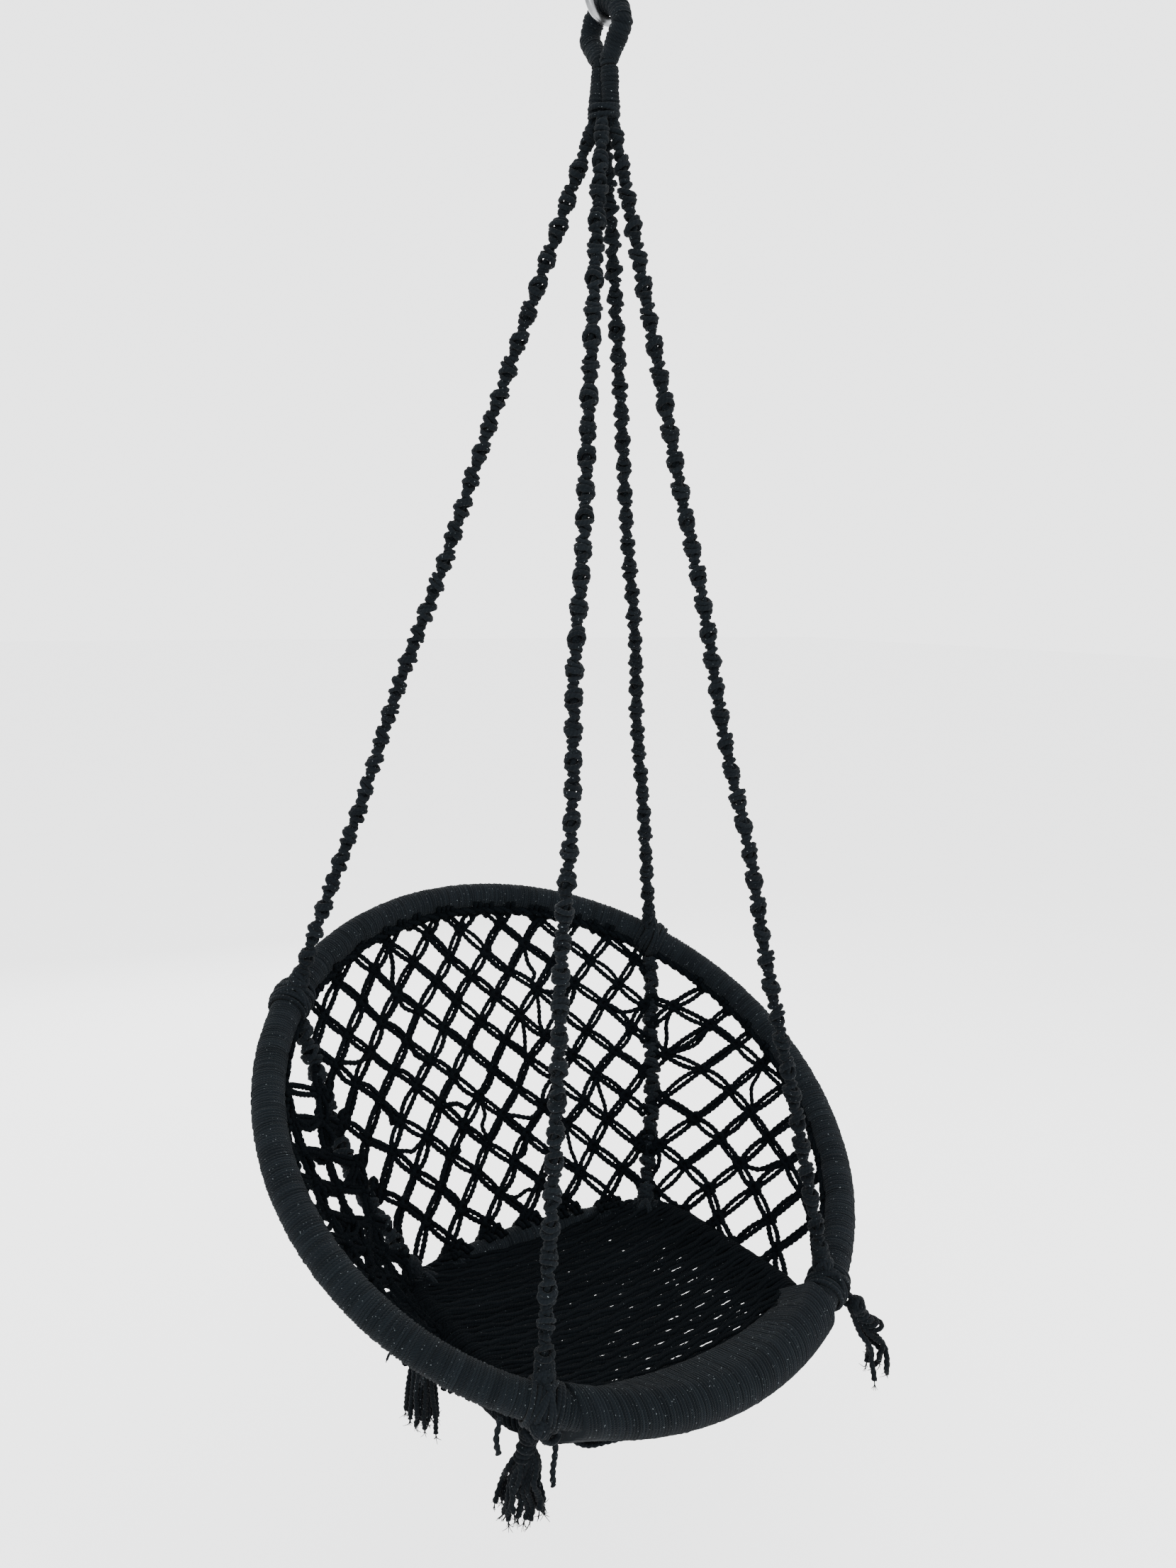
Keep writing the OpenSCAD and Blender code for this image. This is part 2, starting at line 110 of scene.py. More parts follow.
def smooth_path(points: list, step: float) -> np.ndarray:
    """Draws a smooth curve through points.

    Args:
        points: The points to pass through, in order.
        step: The wanted distance between the curve's own points.

    Returns:
        The curve's points, evenly spread.
    """
    p = np.asarray(points, float)
    ext = np.vstack([2 * p[0] - p[1], p, 2 * p[-1] - p[-2]])
    out = []
    for i in range(1, len(ext) - 2):
        a, b, c, d = ext[i - 1], ext[i], ext[i + 1], ext[i + 2]
        count = max(2, int(math.ceil(np.linalg.norm(c - b) / step)))
        t = np.linspace(0, 1, count, endpoint=False)[:, None]
        bend, curl = 2 * a - 5 * b + 4 * c - d, 3 * b - a - 3 * c + d
        out.append(0.5 * (2 * b + (c - a) * t + bend * t**2 + curl * t**3))
    out.append(p[-1:])
    return np.vstack(out)


def moving_frames(path: np.ndarray, closed: bool) -> tuple[np.ndarray, np.ndarray, np.ndarray]:
    """Frames that travel along a path without turning about it.

    Args:
        path: The path's points.
        closed: Whether the last point joins the first.

    Returns:
        The tangents, and two directions across the path at each point.
    """
    if closed:
        t = np.roll(path, -1, 0) - np.roll(path, 1, 0)
    else:
        t = np.gradient(path, axis=0)
    t /= np.linalg.norm(t, axis=1)[:, None]
    across = np.cross(t[0], UP if abs(t[0][2]) < 0.9 else np.array([1.0, 0.0, 0.0]))
    n = np.empty_like(t)
    for i, heading in enumerate(t):
        across = across - heading * (across @ heading)
        across = across / math.sqrt(across @ across)
        n[i] = across
    b = np.cross(t, n)
    if closed:
        last = n[-1] - t[0] * (n[-1] @ t[0])
        twist = -math.atan2(last @ b[0], last @ n[0])
        turn = (twist * np.arange(len(path)) / len(path))[:, None]
        n, b = n * np.cos(turn) + b * np.sin(turn), b * np.cos(turn) - n * np.sin(turn)
    return t, n, b


class CordMesh:
    """Gathers cords, sleeves and knots into one mesh, with a UV map and a tint for each of them.

    On a cord, U runs along it in metres and V once round it.
    """

    def __init__(self, seed: int) -> None:
        """Starts an empty mesh.

        Args:
            seed: The seed of its random draws.
        """
        self.rng = random.Random(seed)
        self.points: list[np.ndarray] = []
        self.tints: list[np.ndarray] = []
        self.quads: list[np.ndarray] = []
        self.quad_uvs: list[np.ndarray] = []
        self.ends: list[np.ndarray] = []
        self.count = 0

    def grid(self, rings: np.ndarray, u: np.ndarray, v: np.ndarray, tint: np.ndarray,
             closed: bool = False) -> None:
        """Adds a tube given by its rings.

        Args:
            rings: Ring points, shaped (rings, points round, 3), anticlockwise about the heading.
            u: U at each ring and each step round, shaped (rings, points round + 1).
            v: V in the same shape.
            tint: The tint of each ring.
            closed: Whether the last ring joins the first.
        """
        m, n = rings.shape[:2]
        i = np.arange(m if closed else m - 1)[:, None]
        k = np.arange(n)[None, :]
        nxt = (i + 1) % m
        k1 = (k + 1) % n
        quads = np.stack([i * n + k, i * n + k1, nxt * n + k1, nxt * n + k], -1).reshape(-1, 4)
        if closed:
            u = np.vstack([u, u[-1] + (u[-1] - u[-2])])
            v = np.vstack([v, v[-1] + (v[-1] - v[-2])])
        kk = k + np.zeros_like(i)
        corners = [np.stack([g[i, kk], g[i, kk + 1], g[i + 1, kk + 1], g[i + 1, kk]], -1) for g in (u, v)]
        uv = np.stack(corners, -1)
        self.quads.append(quads + self.count)
        self.quad_uvs.append(uv.reshape(-1, 2))
        if not closed:
            self.ends.append(np.arange(n)[::-1] + self.count)
            self.ends.append((m - 1) * n + np.arange(n) + self.count)
        self.points.append(rings.reshape(-1, 3))
        self.tints.append(np.repeat(tint, n))
        self.count += m * n

    def cord(self, path: np.ndarray, radius: float = CORD_R, sides: int = 6, closed: bool = False,
             lobe: float = 0.16, taper: float = 1.0, pitch: float = PLY_PITCH) -> None:
        """Adds one twisted cord along a path.

        Args:
            path: The cord's middle line.
            radius: The cord's radius.
            sides: Points round the cord.
            closed: Whether it is a ring.
            lobe: How far its two plies stand out, as a share of the radius.
            taper: The radius at the far end as a share of that at the start.
            pitch: The length in which its plies go once round.
        """
        t, n, b = moving_frames(path, closed)
        ahead = np.roll(path, -1, 0) - path
        steps = np.linalg.norm(ahead, axis=1)
        along = np.concatenate([[0], np.cumsum(steps[:-1])])
        whole = along[-1] + (steps[-1] if closed else 0)
        if closed:
            pitch = 2 * whole / max(1, round(2 * whole / pitch))
        a = CIRCLE * np.arange(sides) / sides
        twist = CIRCLE * along[:, None] / pitch + self.rng.uniform(0, 6) * (not closed)
        r = radius * (1 + lobe * np.cos(2 * (a[None, :] - twist)))
        r = r * np.linspace(1, taper, len(path))[:, None]
        rings = path[:, None, :] + r[..., None] * (
            np.cos(a)[None, :, None] * n[:, None, :] + np.sin(a)[None, :, None] * b[:, None, :])
        u = np.repeat(along[:, None], sides + 1, 1)
        v = np.repeat((np.arange(sides + 1) / sides)[None, :], len(path), 0)
        self.grid(rings, u, v, np.full(len(path), self.rng.random()), closed)

    def sleeve(self, middle: Place, across: Place, up: Place, radius: Callable[[float], float], pitch: float,
               length: float, sides: int = 18, closed: bool = False, depth: float = 1.5 * MM) -> None:
        """Adds a close winding of cord round a bar, as a sleeve with a rib for each turn.

        Args:
            middle: A function from a length along the bar to its middle.
            across: A function to a direction across the bar.
            up: A function to the other direction across it.
            radius: A function to the sleeve's outside radius.
            pitch: The width of a turn.
            length: The length of bar that is wound.
            sides: Points round the sleeve.
            closed: Whether the bar is a ring.
            depth: Depth of the groove between two turns.
        """
        turns = max(3, round(length / pitch))
        a = CIRCLE * np.arange(sides) / sides
        rise = [self.rng.uniform(-0.5, 0.5) * MM for _ in range(turns)]
        lean = [self.rng.uniform(-0.45, 0.45) for _ in range(turns)]
        phase = [self.rng.uniform(0, ANY_PHASE) for _ in range(turns)]
        shade = [self.rng.random() for _ in range(turns)]

        def heading(s: float) -> np.ndarray:
            """The directions outwards all round the bar."""
            return np.cos(a)[:, None] * across(s) + np.sin(a)[:, None] * up(s)

        rings, tint, v = [], [], []
        for turn in range(turns):
            for share, height in TURN_PROFILE:
                s = (turn + share) / turns * length
                sway = lean[turn] * pitch * (height > 0)
                q = s + sway * np.sin(a + phase[turn])
                r = radius(s) - depth * (1 - height) + rise[turn] * height
                mid = np.array([middle(x) for x in q]) if sway else np.repeat([middle(s)], sides, 0)
                rings.append(mid + r * heading(s))
                tint.append(shade[turn])
                v.append(turn + share)
        if not closed:
            rings.append(middle(length) + (radius(length) - depth) * heading(length))
            tint.append(shade[-1])
            v.append(turns)
        u = np.repeat((np.arange(sides + 1) / sides * CIRCLE * radius(0))[None, :], len(rings), 0)
        v = np.repeat(np.array(v)[:, None], sides + 1, 1)
        self.grid(np.array(rings), u, v, np.array(tint), closed)

    def ring(self, middle: np.ndarray, across: np.ndarray, up: np.ndarray, a: float, b: float,
             radius: float = CORD_R, steps: int = 12, sides: int = 5) -> None:
        """Adds one closed turn of cord on an ellipse.

        Args:
            middle: The ellipse's middle.
            across: Its long axis.
            up: Its short axis.
            a: Half its length.
            b: Half its width.
            radius: The cord's radius.
            steps: Points along the ring.
            sides: Points round the cord.
        """
        w = CIRCLE * np.arange(steps)[:, None] / steps
        self.cord(middle + a * np.cos(w) * across + b * np.sin(w) * up, radius, sides, closed=True, lobe=0.08)

    def fist(self, middle: np.ndarray, radius: float, turns: int, cord_r: float = CORD_R) -> None:
        """Adds a tight ball knot: turns of cord round the same ball, each at its own slant.

        Args:
            middle: The ball's middle.
            radius: Its radius.
            turns: How many turns of cord it has.
            cord_r: The cord's radius.
        """
        for _ in range(turns):
            axis = unit(np.array([self.rng.gauss(0, 1) for _ in range(3)]))
            across = unit(np.cross(axis, UP + 0.1))
            reach = radius - cord_r * self.rng.uniform(1.0, 1.5)
            shift = axis * reach * self.rng.uniform(-0.35, 0.35)
            small = reach * self.rng.uniform(0.9, 1.0)
            self.ring(middle + shift, across, np.cross(axis, across), small, small, cord_r, 22, 6)

    def stamp(self, pattern: "Pattern", place: np.ndarray, axes: np.ndarray) -> None:
        """Copies a knot pattern into the mesh.

        Args:
            pattern: The knot's own points and faces.
            place: Where its middle goes.
            axes: Its three directions, as columns.
        """
        self.points.append(pattern.points @ axes.T + place)
        self.tints.append(np.full(len(pattern.points), self.rng.random()))
        self.quads.append(pattern.quads + self.count)
        self.quad_uvs.append(pattern.uvs)
        self.count += len(pattern.points)

    def build(self, name: str, finish: "CordFinish", body: str, nodes: tuple = ()) -> bpy.types.Object:
        """Makes the object, dresses it and puts it on its body.

        Args:
            name: The piece's name.
            finish: Its cord finish.
            body: The CAD body that it rides on.
            nodes: The CAD nodes that it stands for.

        Returns:
            The finished piece.
        """
        mesh = bpy.data.meshes.new(name)
        points = np.vstack(self.points)
        quads = np.vstack(self.quads)
        mesh.vertices.add(len(points))
        mesh.vertices.foreach_set("co", points.astype(np.float32).ravel())
        sizes = np.concatenate([np.full(len(quads), 4), [len(e) for e in self.ends]]).astype(np.int32)
        corners = np.concatenate([quads.ravel(), *self.ends]).astype(np.int32)
        mesh.loops.add(len(corners))
        mesh.loops.foreach_set("vertex_index", corners)
        mesh.polygons.add(len(sizes))
        mesh.polygons.foreach_set("loop_start", np.concatenate([[0], np.cumsum(sizes)[:-1]]).astype(np.int32))
        mesh.polygons.foreach_set("use_smooth", np.ones(len(sizes), bool))
        uv = np.zeros((len(corners), 2), np.float32)
        uv[:quads.size] = np.vstack(self.quad_uvs)
        mesh.uv_layers.new(name="cord_run").data.foreach_set("uv", uv.ravel())
        tint = mesh.attributes.new("tint", "FLOAT", "POINT")
        tint.data.foreach_set("value", np.concatenate(self.tints).astype(np.float32))
        mesh.update(calc_edges=True)
        mesh.validate()
        piece = bpy.data.objects.new(name, mesh)
        bpy.context.scene.collection.objects.link(piece)
        mesh.materials.append(finish.material())
        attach(piece, body)
        if nodes:
            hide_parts(*nodes)
        LOG.info("%s: %d faces on %s", name, len(sizes), body)
        return piece


@dataclass
class Pattern:
    """A small shape that is modelled once and copied into a piece."""

    points: np.ndarray
    quads: np.ndarray
    uvs: np.ndarray


def net_knot_pattern(across: float, cord_r: float) -> Pattern:
    """Models one flat square knot of the net: two slanted eyes of cord laid over each other.

    Args:
        across: The knot's whole width.
        cord_r: The radius of its cord.

    Returns:
        The knot as a pattern, in the XY plane with its front along +Z.
    """
    ring = 5        # points round the cord
    bpy.ops.object.select_all(action="DESELECT")
    bpy.ops.mesh.primitive_torus_add(major_segments=8, minor_segments=ring, major_radius=across / 2 - cord_r,
                                     minor_radius=cord_r * 1.15, location=(0, 0, 0))
    knot = bpy.context.object
    bpy.ops.object.mode_set(mode="EDIT")
    bpy.ops.mesh.select_all(action="SELECT")
    bpy.ops.transform.resize(value=(1.0, 0.62, 1.25), center_override=(0, 0, 0))
    bpy.ops.transform.rotate(value=math.radians(24), orient_axis="Y", center_override=(0, 0, 0))
    bpy.ops.mesh.duplicate()
    bpy.ops.transform.rotate(value=math.radians(180), orient_axis="Z", center_override=(0, 0, 0))
    bpy.ops.transform.rotate(value=math.radians(68), orient_axis="Z", center_override=(0, 0, 0))
    bpy.ops.object.mode_set(mode="OBJECT")
    mesh = knot.data
    points = np.array([v.co for v in mesh.vertices], float)
    quads = np.array([list(p.vertices) for p in mesh.polygons], int)
    uvs = [(q // ring * 4 * MM, q % ring / ring) for q in quads.ravel()]
    bpy.data.objects.remove(knot)
    return Pattern(points, quads, np.array(uvs, float))


# ---- finishes ----


def link(tree: bpy.types.NodeTree, *pairs: tuple) -> None:
    """Links pairs of (output socket, input socket)."""
    for start, end in pairs:
        tree.links.new(start, end)


def math_node(tree: bpy.types.NodeTree, kind: str, a: object, b: object = None) -> bpy.types.NodeSocket:
    """Adds a Math node.

    Args:
        tree: The material's node tree.
        kind: The operation's name.
        a: A socket or a number.
        b: A socket or a number, if the operation takes two.

    Returns:
        The node's output socket.
    """
    node = tree.nodes.new("ShaderNodeMath")
    node.operation = kind
    for i, value in enumerate([a] if b is None else [a, b]):
        if isinstance(value, bpy.types.NodeSocket):
            tree.links.new(value, node.inputs[i])
        else:
            node.inputs[i].default_value = value
    return node.outputs[0]


def mix_colour(tree: bpy.types.NodeTree, share: object, a: object, b: object) -> bpy.types.NodeSocket:
    """Adds a colour mix.

    Args:
        tree: The material's node tree.
        share: The share of b, as a socket or a number.
        a: The first colour, as a socket or three numbers.
        b: The second one.

    Returns:
        The mixed colour's socket.
    """
    node = tree.nodes.new("ShaderNodeMix")
    node.data_type = "RGBA"
    for socket, value in ((node.inputs[0], share), (node.inputs[6], a), (node.inputs[7], b)):
        if isinstance(value, bpy.types.NodeSocket):
            tree.links.new(value, socket)
        elif isinstance(value, tuple):
            socket.default_value = (*value, 1.0)
        else:
            socket.default_value = value
    return node.outputs[2]


def noise(tree: bpy.types.NodeTree, where: bpy.types.NodeSocket, scale: float,
          detail: float) -> bpy.types.NodeSocket:
    """Adds a Noise Texture.

    Args:
        tree: The material's node tree.
        where: The coordinates it reads.
        scale: Its scale.
        detail: Its detail.

    Returns:
        The socket of its factor.
    """
    node = tree.nodes.new("ShaderNodeTexNoise")
    node.inputs["Scale"].default_value = scale
    node.inputs["Detail"].default_value = detail
    tree.links.new(where, node.inputs["Vector"])
    return node.outputs["Fac"]


def ramp(tree: bpy.types.NodeTree, value: bpy.types.NodeSocket, low: float,
         high: float) -> bpy.types.NodeSocket:
    """Spreads the values from low to high over 0 to 1.

    Args:
        tree: The material's node tree.
        value: The socket to spread.
        low: The value that becomes 0.
        high: The value that becomes 1.

    Returns:
        The spread value's socket.
    """
    node = tree.nodes.new("ShaderNodeMapRange")
    node.inputs["From Min"].default_value = low
    node.inputs["From Max"].default_value = high
    tree.links.new(value, node.inputs["Value"])
    return node.outputs["Result"]


def weigh(tree: bpy.types.NodeTree, *terms: tuple) -> bpy.types.NodeSocket:
    """Adds up values, each times its own weight.

    Args:
        tree: The material's node tree.
        terms: Pairs of a socket and its weight.

    Returns:
        The sum's socket.
    """
    total = None
    for value, weight in terms:
        part = math_node(tree, "MULTIPLY", value, weight)
        total = part if total is None else math_node(tree, "ADD", total, part)
    return total


def preset(node: bpy.types.Node, values: dict[str, float]) -> None:
    """Sets a node's inputs, given by their names."""
    for name, value in values.items():
        node.inputs[name].default_value = value


def new_material(name: str) -> tuple[bpy.types.Material, bpy.types.NodeTree, bpy.types.Node]:
    """Starts a material.

    Args:
        name: Its name.

    Returns:
        The material, its node tree and its shader.
    """
    made = bpy.data.materials.new(name)
    made.use_nodes = True
    return made, made.node_tree, made.node_tree.nodes["Principled BSDF"]


def add_bump(tree: bpy.types.NodeTree, height: bpy.types.NodeSocket, strength: float, depth: float) -> None:
    """Raises a material's surface by a height.

    Args:
        tree: The material's node tree.
        height: The height's socket.
        strength: The bump's strength.
        depth: How deep a height of 1 is.
    """
    bump = tree.nodes.new("ShaderNodeBump")
    preset(bump, {"Strength": strength, "Distance": depth})
    link(tree, (height, bump.inputs["Height"]),
         (bump.outputs[0], tree.nodes["Principled BSDF"].inputs["Normal"]))


@dataclass(frozen=True)
class CordFinish:
    """Black cotton cord: dark dyed plies with painted shade in the grooves between them, fine fibres along
    them and pale lint caught on top.
    """

    name: str
    slot: str
    dark: tuple[float, float, float]
    light: tuple[float, float, float]
    lint: tuple[float, float, float] = (0.15, 0.17, 0.18)
    lint_from: float = 0.72
    lint_share: float = 0.6
    lint_scale: float = 460.0
    ply_bump: float = 0.55
    fibre_bump: float = 0.5
    fuzz_bump: float = 0.35
    fuzz_scale: float = 850.0
    soil_scale: float = 9.0
    fibre_lay: tuple[float, float, float] = (260.0, 7.0, 40.0)      # along the cord, over a ply, by its tint
    shares: tuple[float, float, float, float] = (0.34, 0.22, 0.30, 0.20)    # of tint, ply, fibre and soil; the ply share is painted shade, lighter on the plies' crests and darker in the grooves
    bump_depth: float = 0.7 * MM
    roughness: float = 0.88
    sheen: float = 0.02
    specular: float = 0.10

    def material(self) -> bpy.types.Material:
        """Makes the finish's material once and then shares it.

        Returns:
            The material.
        """
        made = bpy.data.materials.get(self.name)
        if made:
            return made
        made, tree, shader = new_material(self.name)
        preset(shader, {"Roughness": self.roughness, "Sheen Weight": self.sheen, "Sheen Roughness": 0.45,
                        "Specular IOR Level": self.specular})
        run = tree.nodes.new("ShaderNodeUVMap")
        run.uv_map = "cord_run"
        parts = tree.nodes.new("ShaderNodeSeparateXYZ")
        link(tree, (run.outputs[0], parts.inputs[0]))
        along, round_it = parts.outputs[0], parts.outputs[1]
        place = tree.nodes.new("ShaderNodeTexCoord").outputs["Object"]
        tint_node = tree.nodes.new("ShaderNodeAttribute")
        tint_node.attribute_name = "tint"
        tint = tint_node.outputs["Fac"]
        turn = weigh(tree, (along, 4 / PLY_PITCH), (round_it, 2.0))
        ply = math_node(tree, "SINE", math_node(tree, "MULTIPLY", turn, CIRCLE))
        ply = ramp(tree, ply, -1.0, 1.0)
        lay = tree.nodes.new("ShaderNodeCombineXYZ")
        for i, value in enumerate((along, turn, tint)):
            link(tree, (math_node(tree, "MULTIPLY", value, self.fibre_lay[i]), lay.inputs[i]))
        fibre = noise(tree, lay.outputs[0], 1.0, 3.0)
        soil = ramp(tree, noise(tree, place, self.soil_scale, 4.0), 0.3, 0.7)
        fuzz = noise(tree, place, self.fuzz_scale, 2.0)
        # The ply term paints shade: it darkens the grooves between the plies and lights their crests,
        # following the bump.
        shade = weigh(tree, *zip((tint, ply, fibre, soil), self.shares))
        colour = mix_colour(tree, shade, self.dark, self.light)
        specks = ramp(tree, noise(tree, place, self.lint_scale, 1.5), self.lint_from, self.lint_from + 0.05)
        colour = mix_colour(tree, math_node(tree, "MULTIPLY", specks, self.lint_share), colour, self.lint)
        link(tree, (colour, shader.inputs["Base Color"]))
        height = weigh(tree, (ply, self.ply_bump), (fibre, self.fibre_bump), (fuzz, self.fuzz_bump))
        add_bump(tree, height, 0.9, self.bump_depth)
        return made


@dataclass(frozen=True)
class SteelFinish:
    """Plain steel with a fine grain, faint smears and duller patches."""

    name: str
    light: tuple[float, float, float]
    dark: tuple[float, float, float]
    roughness: float
    cloud_scale: float = 60.0
    grain_scale: float = 1400.0
    cloud_rough: float = 0.22       # how much rougher the duller patches are
    bump_depth: float = 0.1 * MM

    def material(self) -> bpy.types.Material:
        """Makes the finish's material once and then shares it.

        Returns:
            The material.
        """
        made = bpy.data.materials.get(self.name)
        if made:
            return made
        made, tree, shader = new_material(self.name)
        preset(shader, {"Metallic": 1.0})
        place = tree.nodes.new("ShaderNodeTexCoord").outputs["Object"]
        cloud = noise(tree, place, self.cloud_scale, 5.0)
        colour = mix_colour(tree, ramp(tree, cloud, 0.35, 0.7), self.light, self.dark)
        rough = math_node(tree, "ADD", math_node(tree, "MULTIPLY", cloud, self.cloud_rough),
                          self.roughness - self.cloud_rough / 2)
        link(tree, (colour, shader.inputs["Base Color"]), (rough, shader.inputs["Roughness"]))
        add_bump(tree, noise(tree, place, self.grain_scale, 2.0), 0.25, self.bump_depth)
        return made


HOOP_COTTON = CordFinish("wound_hoop_cotton", "hoop_wrap", (0.0005, 0.0009, 0.0013), (0.0058, 0.0080, 0.0100),
                         lint_from=0.71, ply_bump=0.8, specular=0.035)
ROPE_COTTON = CordFinish("knotted_rope_cotton", "rope_cord", (0.0005, 0.0010, 0.0015),
                         (0.0044, 0.0060, 0.0076), specular=0.04)
NET_COTTON = CordFinish("net_cotton", "net_cord", (0.0003, 0.0006, 0.0009), (0.0018, 0.0026, 0.0034),
                        lint_from=0.77, sheen=0.0, specular=0.02)
SEAT_COTTON = CordFinish("seat_cotton", "seat_cord", (0.0003, 0.0006, 0.0009), (0.0026, 0.0035, 0.0044),
                         lint_from=0.76, ply_bump=0.25, sheen=0.0, specular=0.02)
TASSEL_COTTON = CordFinish("tassel_cotton", "tassel_cord", (0.0004, 0.0007, 0.0010), (0.0034, 0.0046, 0.0058),
                           specular=0.03)
CORE_COTTON = CordFinish("core_cotton", "inner_cord", (0.002, 0.003, 0.004), (0.008, 0.010, 0.012))
HOOK_STEEL = SteelFinish("bright_hook_steel", (0.27, 0.275, 0.28), (0.13, 0.135, 0.14), 0.30)
TUBE_STEEL = SteelFinish("dull_tube_steel", (0.30, 0.30, 0.31), (0.16, 0.16, 0.17), 0.5)


# ---- the frame's own sizes ----


@dataclass(frozen=True)
class BigHoop:
    """The sloping big hoop, worked out from its CAD box."""

    centre: np.ndarray
    radius: float
    tilt: float

    @classmethod
    def from_frame(cls) -> "BigHoop":
        """Reads the hoop's centre, radius and slope from the wrap's box.

        Returns:
            The hoop.
        """
        low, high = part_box("big_hoop_wrap")
        half = (high - low) / 2
        radius = half.x - WRAP_R
        return cls(np.array((high + low) / 2), radius, math.asin((half.z - WRAP_R) / radius))

    def out(self, angle: float) -> np.ndarray:
        """The direction away from the hoop's centre, at an angle from its front towards +X."""
        return np.array([math.sin(angle), -math.cos(angle) * math.cos(self.tilt),
                         -math.cos(angle) * math.sin(self.tilt)])

    def point(self, angle: float) -> np.ndarray:
        """The middle of the tube at an angle."""
        return self.centre + self.radius * self.out(angle)

    @property
    def across(self) -> np.ndarray:
        """The direction square to the hoop's plane, towards the seat."""
        return np.array([0.0, math.sin(self.tilt), -math.cos(self.tilt)])


@dataclass(frozen=True)
class SeatHoop:
    """The level seat hoop: bowed front and rear, round corners and straight sides."""

    half_w: float
    front_y: float
    rear_y: float
    z: float
    bow_r: float = 450 * MM
    corner_r: float = 75 * MM

    @classmethod
    def from_frame(cls) -> "SeatHoop":
        """Reads the hoop's width, depth and height from the wrap's box.

        Returns:
            The hoop.
        """
        low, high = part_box("seat_hoop_wrap")
        return cls(high.x - WRAP_R, low.y + WRAP_R, high.y - WRAP_R, (low.z + high.z) / 2)

    @property
    def corner_x(self) -> float:
        """Where the corners' centres lie along X."""
        return self.half_w - self.corner_r

    @property
    def bow(self) -> float:
        """Half the angle that a bowed run covers."""
        return math.asin(self.corner_x / (self.bow_r - self.corner_r))

    @property
    def bow_drop(self) -> float:
        """How far a corner's centre lies inside the bow's furthest point."""
        return self.bow_r - math.cos(self.bow) * (self.bow_r - self.corner_r)

    @property
    def side_len(self) -> float:
        """Length of a straight side."""
        return self.rear_y - self.front_y - 2 * self.bow_drop

    @property
    def corner_len(self) -> float:
        """Length of a corner's arc."""
        return self.corner_r * (math.pi / 2 - self.bow)

    @property
    def bow_len(self) -> float:
        """Length of half a bowed run."""
        return self.bow_r * self.bow

    @property
    def half_len(self) -> float:
        """Length from the front's middle round to the rear's middle."""
        return 2 * self.bow_len + 2 * self.corner_len + self.side_len

    def at(self, s: float) -> tuple[np.ndarray, np.ndarray]:
        """A place on the hoop.

        Args:
            s: Length from the front's middle, towards +X and on round.

        Returns:
            The tube's middle and the direction outwards there.
        """
        s = s % (2 * self.half_len)
        flip = s > self.half_len
        if flip:
            s = 2 * self.half_len - s
        rear = s > self.half_len / 2
        if rear:
            s = self.half_len - s
        if s < self.bow_len:
            a = s / self.bow_r
            p = [self.bow_r * math.sin(a), self.front_y + self.bow_r * (1 - math.cos(a))]
        elif s < self.bow_len + self.corner_len:
            a = self.bow + (s - self.bow_len) / self.corner_r
            p = [self.corner_x + self.corner_r * math.sin(a),
                 self.front_y + self.bow_drop - self.corner_r * math.cos(a)]
        else:
            a = math.pi / 2
            p = [self.half_w, self.front_y + self.bow_drop + s - self.bow_len - self.corner_len]
        out = [math.sin(a), -math.cos(a)]
        if rear:
            p[1] = self.front_y + self.rear_y - p[1]
            out[1] = -out[1]
        sign = -1 if flip else 1
        return np.array([sign * p[0], p[1], self.z]), np.array([sign * out[0], out[1], 0.0])

    def reach(self, y: float) -> float:
        """Half the hoop's width at a place along Y.

        Args:
            y: The place.

        Returns:
            The distance from the chair's middle to the tube's middle.
        """
        y = min(y, self.front_y + self.rear_y - y)
        inside = self.front_y + self.bow_drop
        if y >= inside:
            return self.half_w
        drop = inside - y
        if drop <= self.corner_r * math.cos(self.bow):
            return self.corner_x + math.sqrt(self.corner_r**2 - drop**2)
        return math.sqrt(max(0.0, self.bow_r**2 - (self.front_y + self.bow_r - y) ** 2))


BIG = BigHoop.from_frame()
SEAT = SeatHoop.from_frame()
FRONT_ROPE_A = math.radians(33.2)       # where the front ropes meet the big hoop, from its front
REAR_ROPE_A = math.radians(130.9)       # where the rear ropes meet it
SIDE_START = SEAT.bow_len + SEAT.corner_len
REAR_CORNER_S = SIDE_START + SEAT.side_len + SEAT.corner_r * math.pi / 4    # the lower ropes' feet


def rope_angle(side: Side, rear: bool) -> float:
    """The angle on the big hoop where a rope meets it."""
    return side.value * (REAR_ROPE_A if rear else FRONT_ROPE_A)


def seat_corner(side: Side) -> tuple[np.ndarray, np.ndarray]:
    """The seat hoop's rear corner on one side, and the direction outwards there."""
    p, out = SEAT.at(REAR_CORNER_S)
    return p * [side.value, 1, 1], out * [side.value, 1, 1]


# ---- studio ----


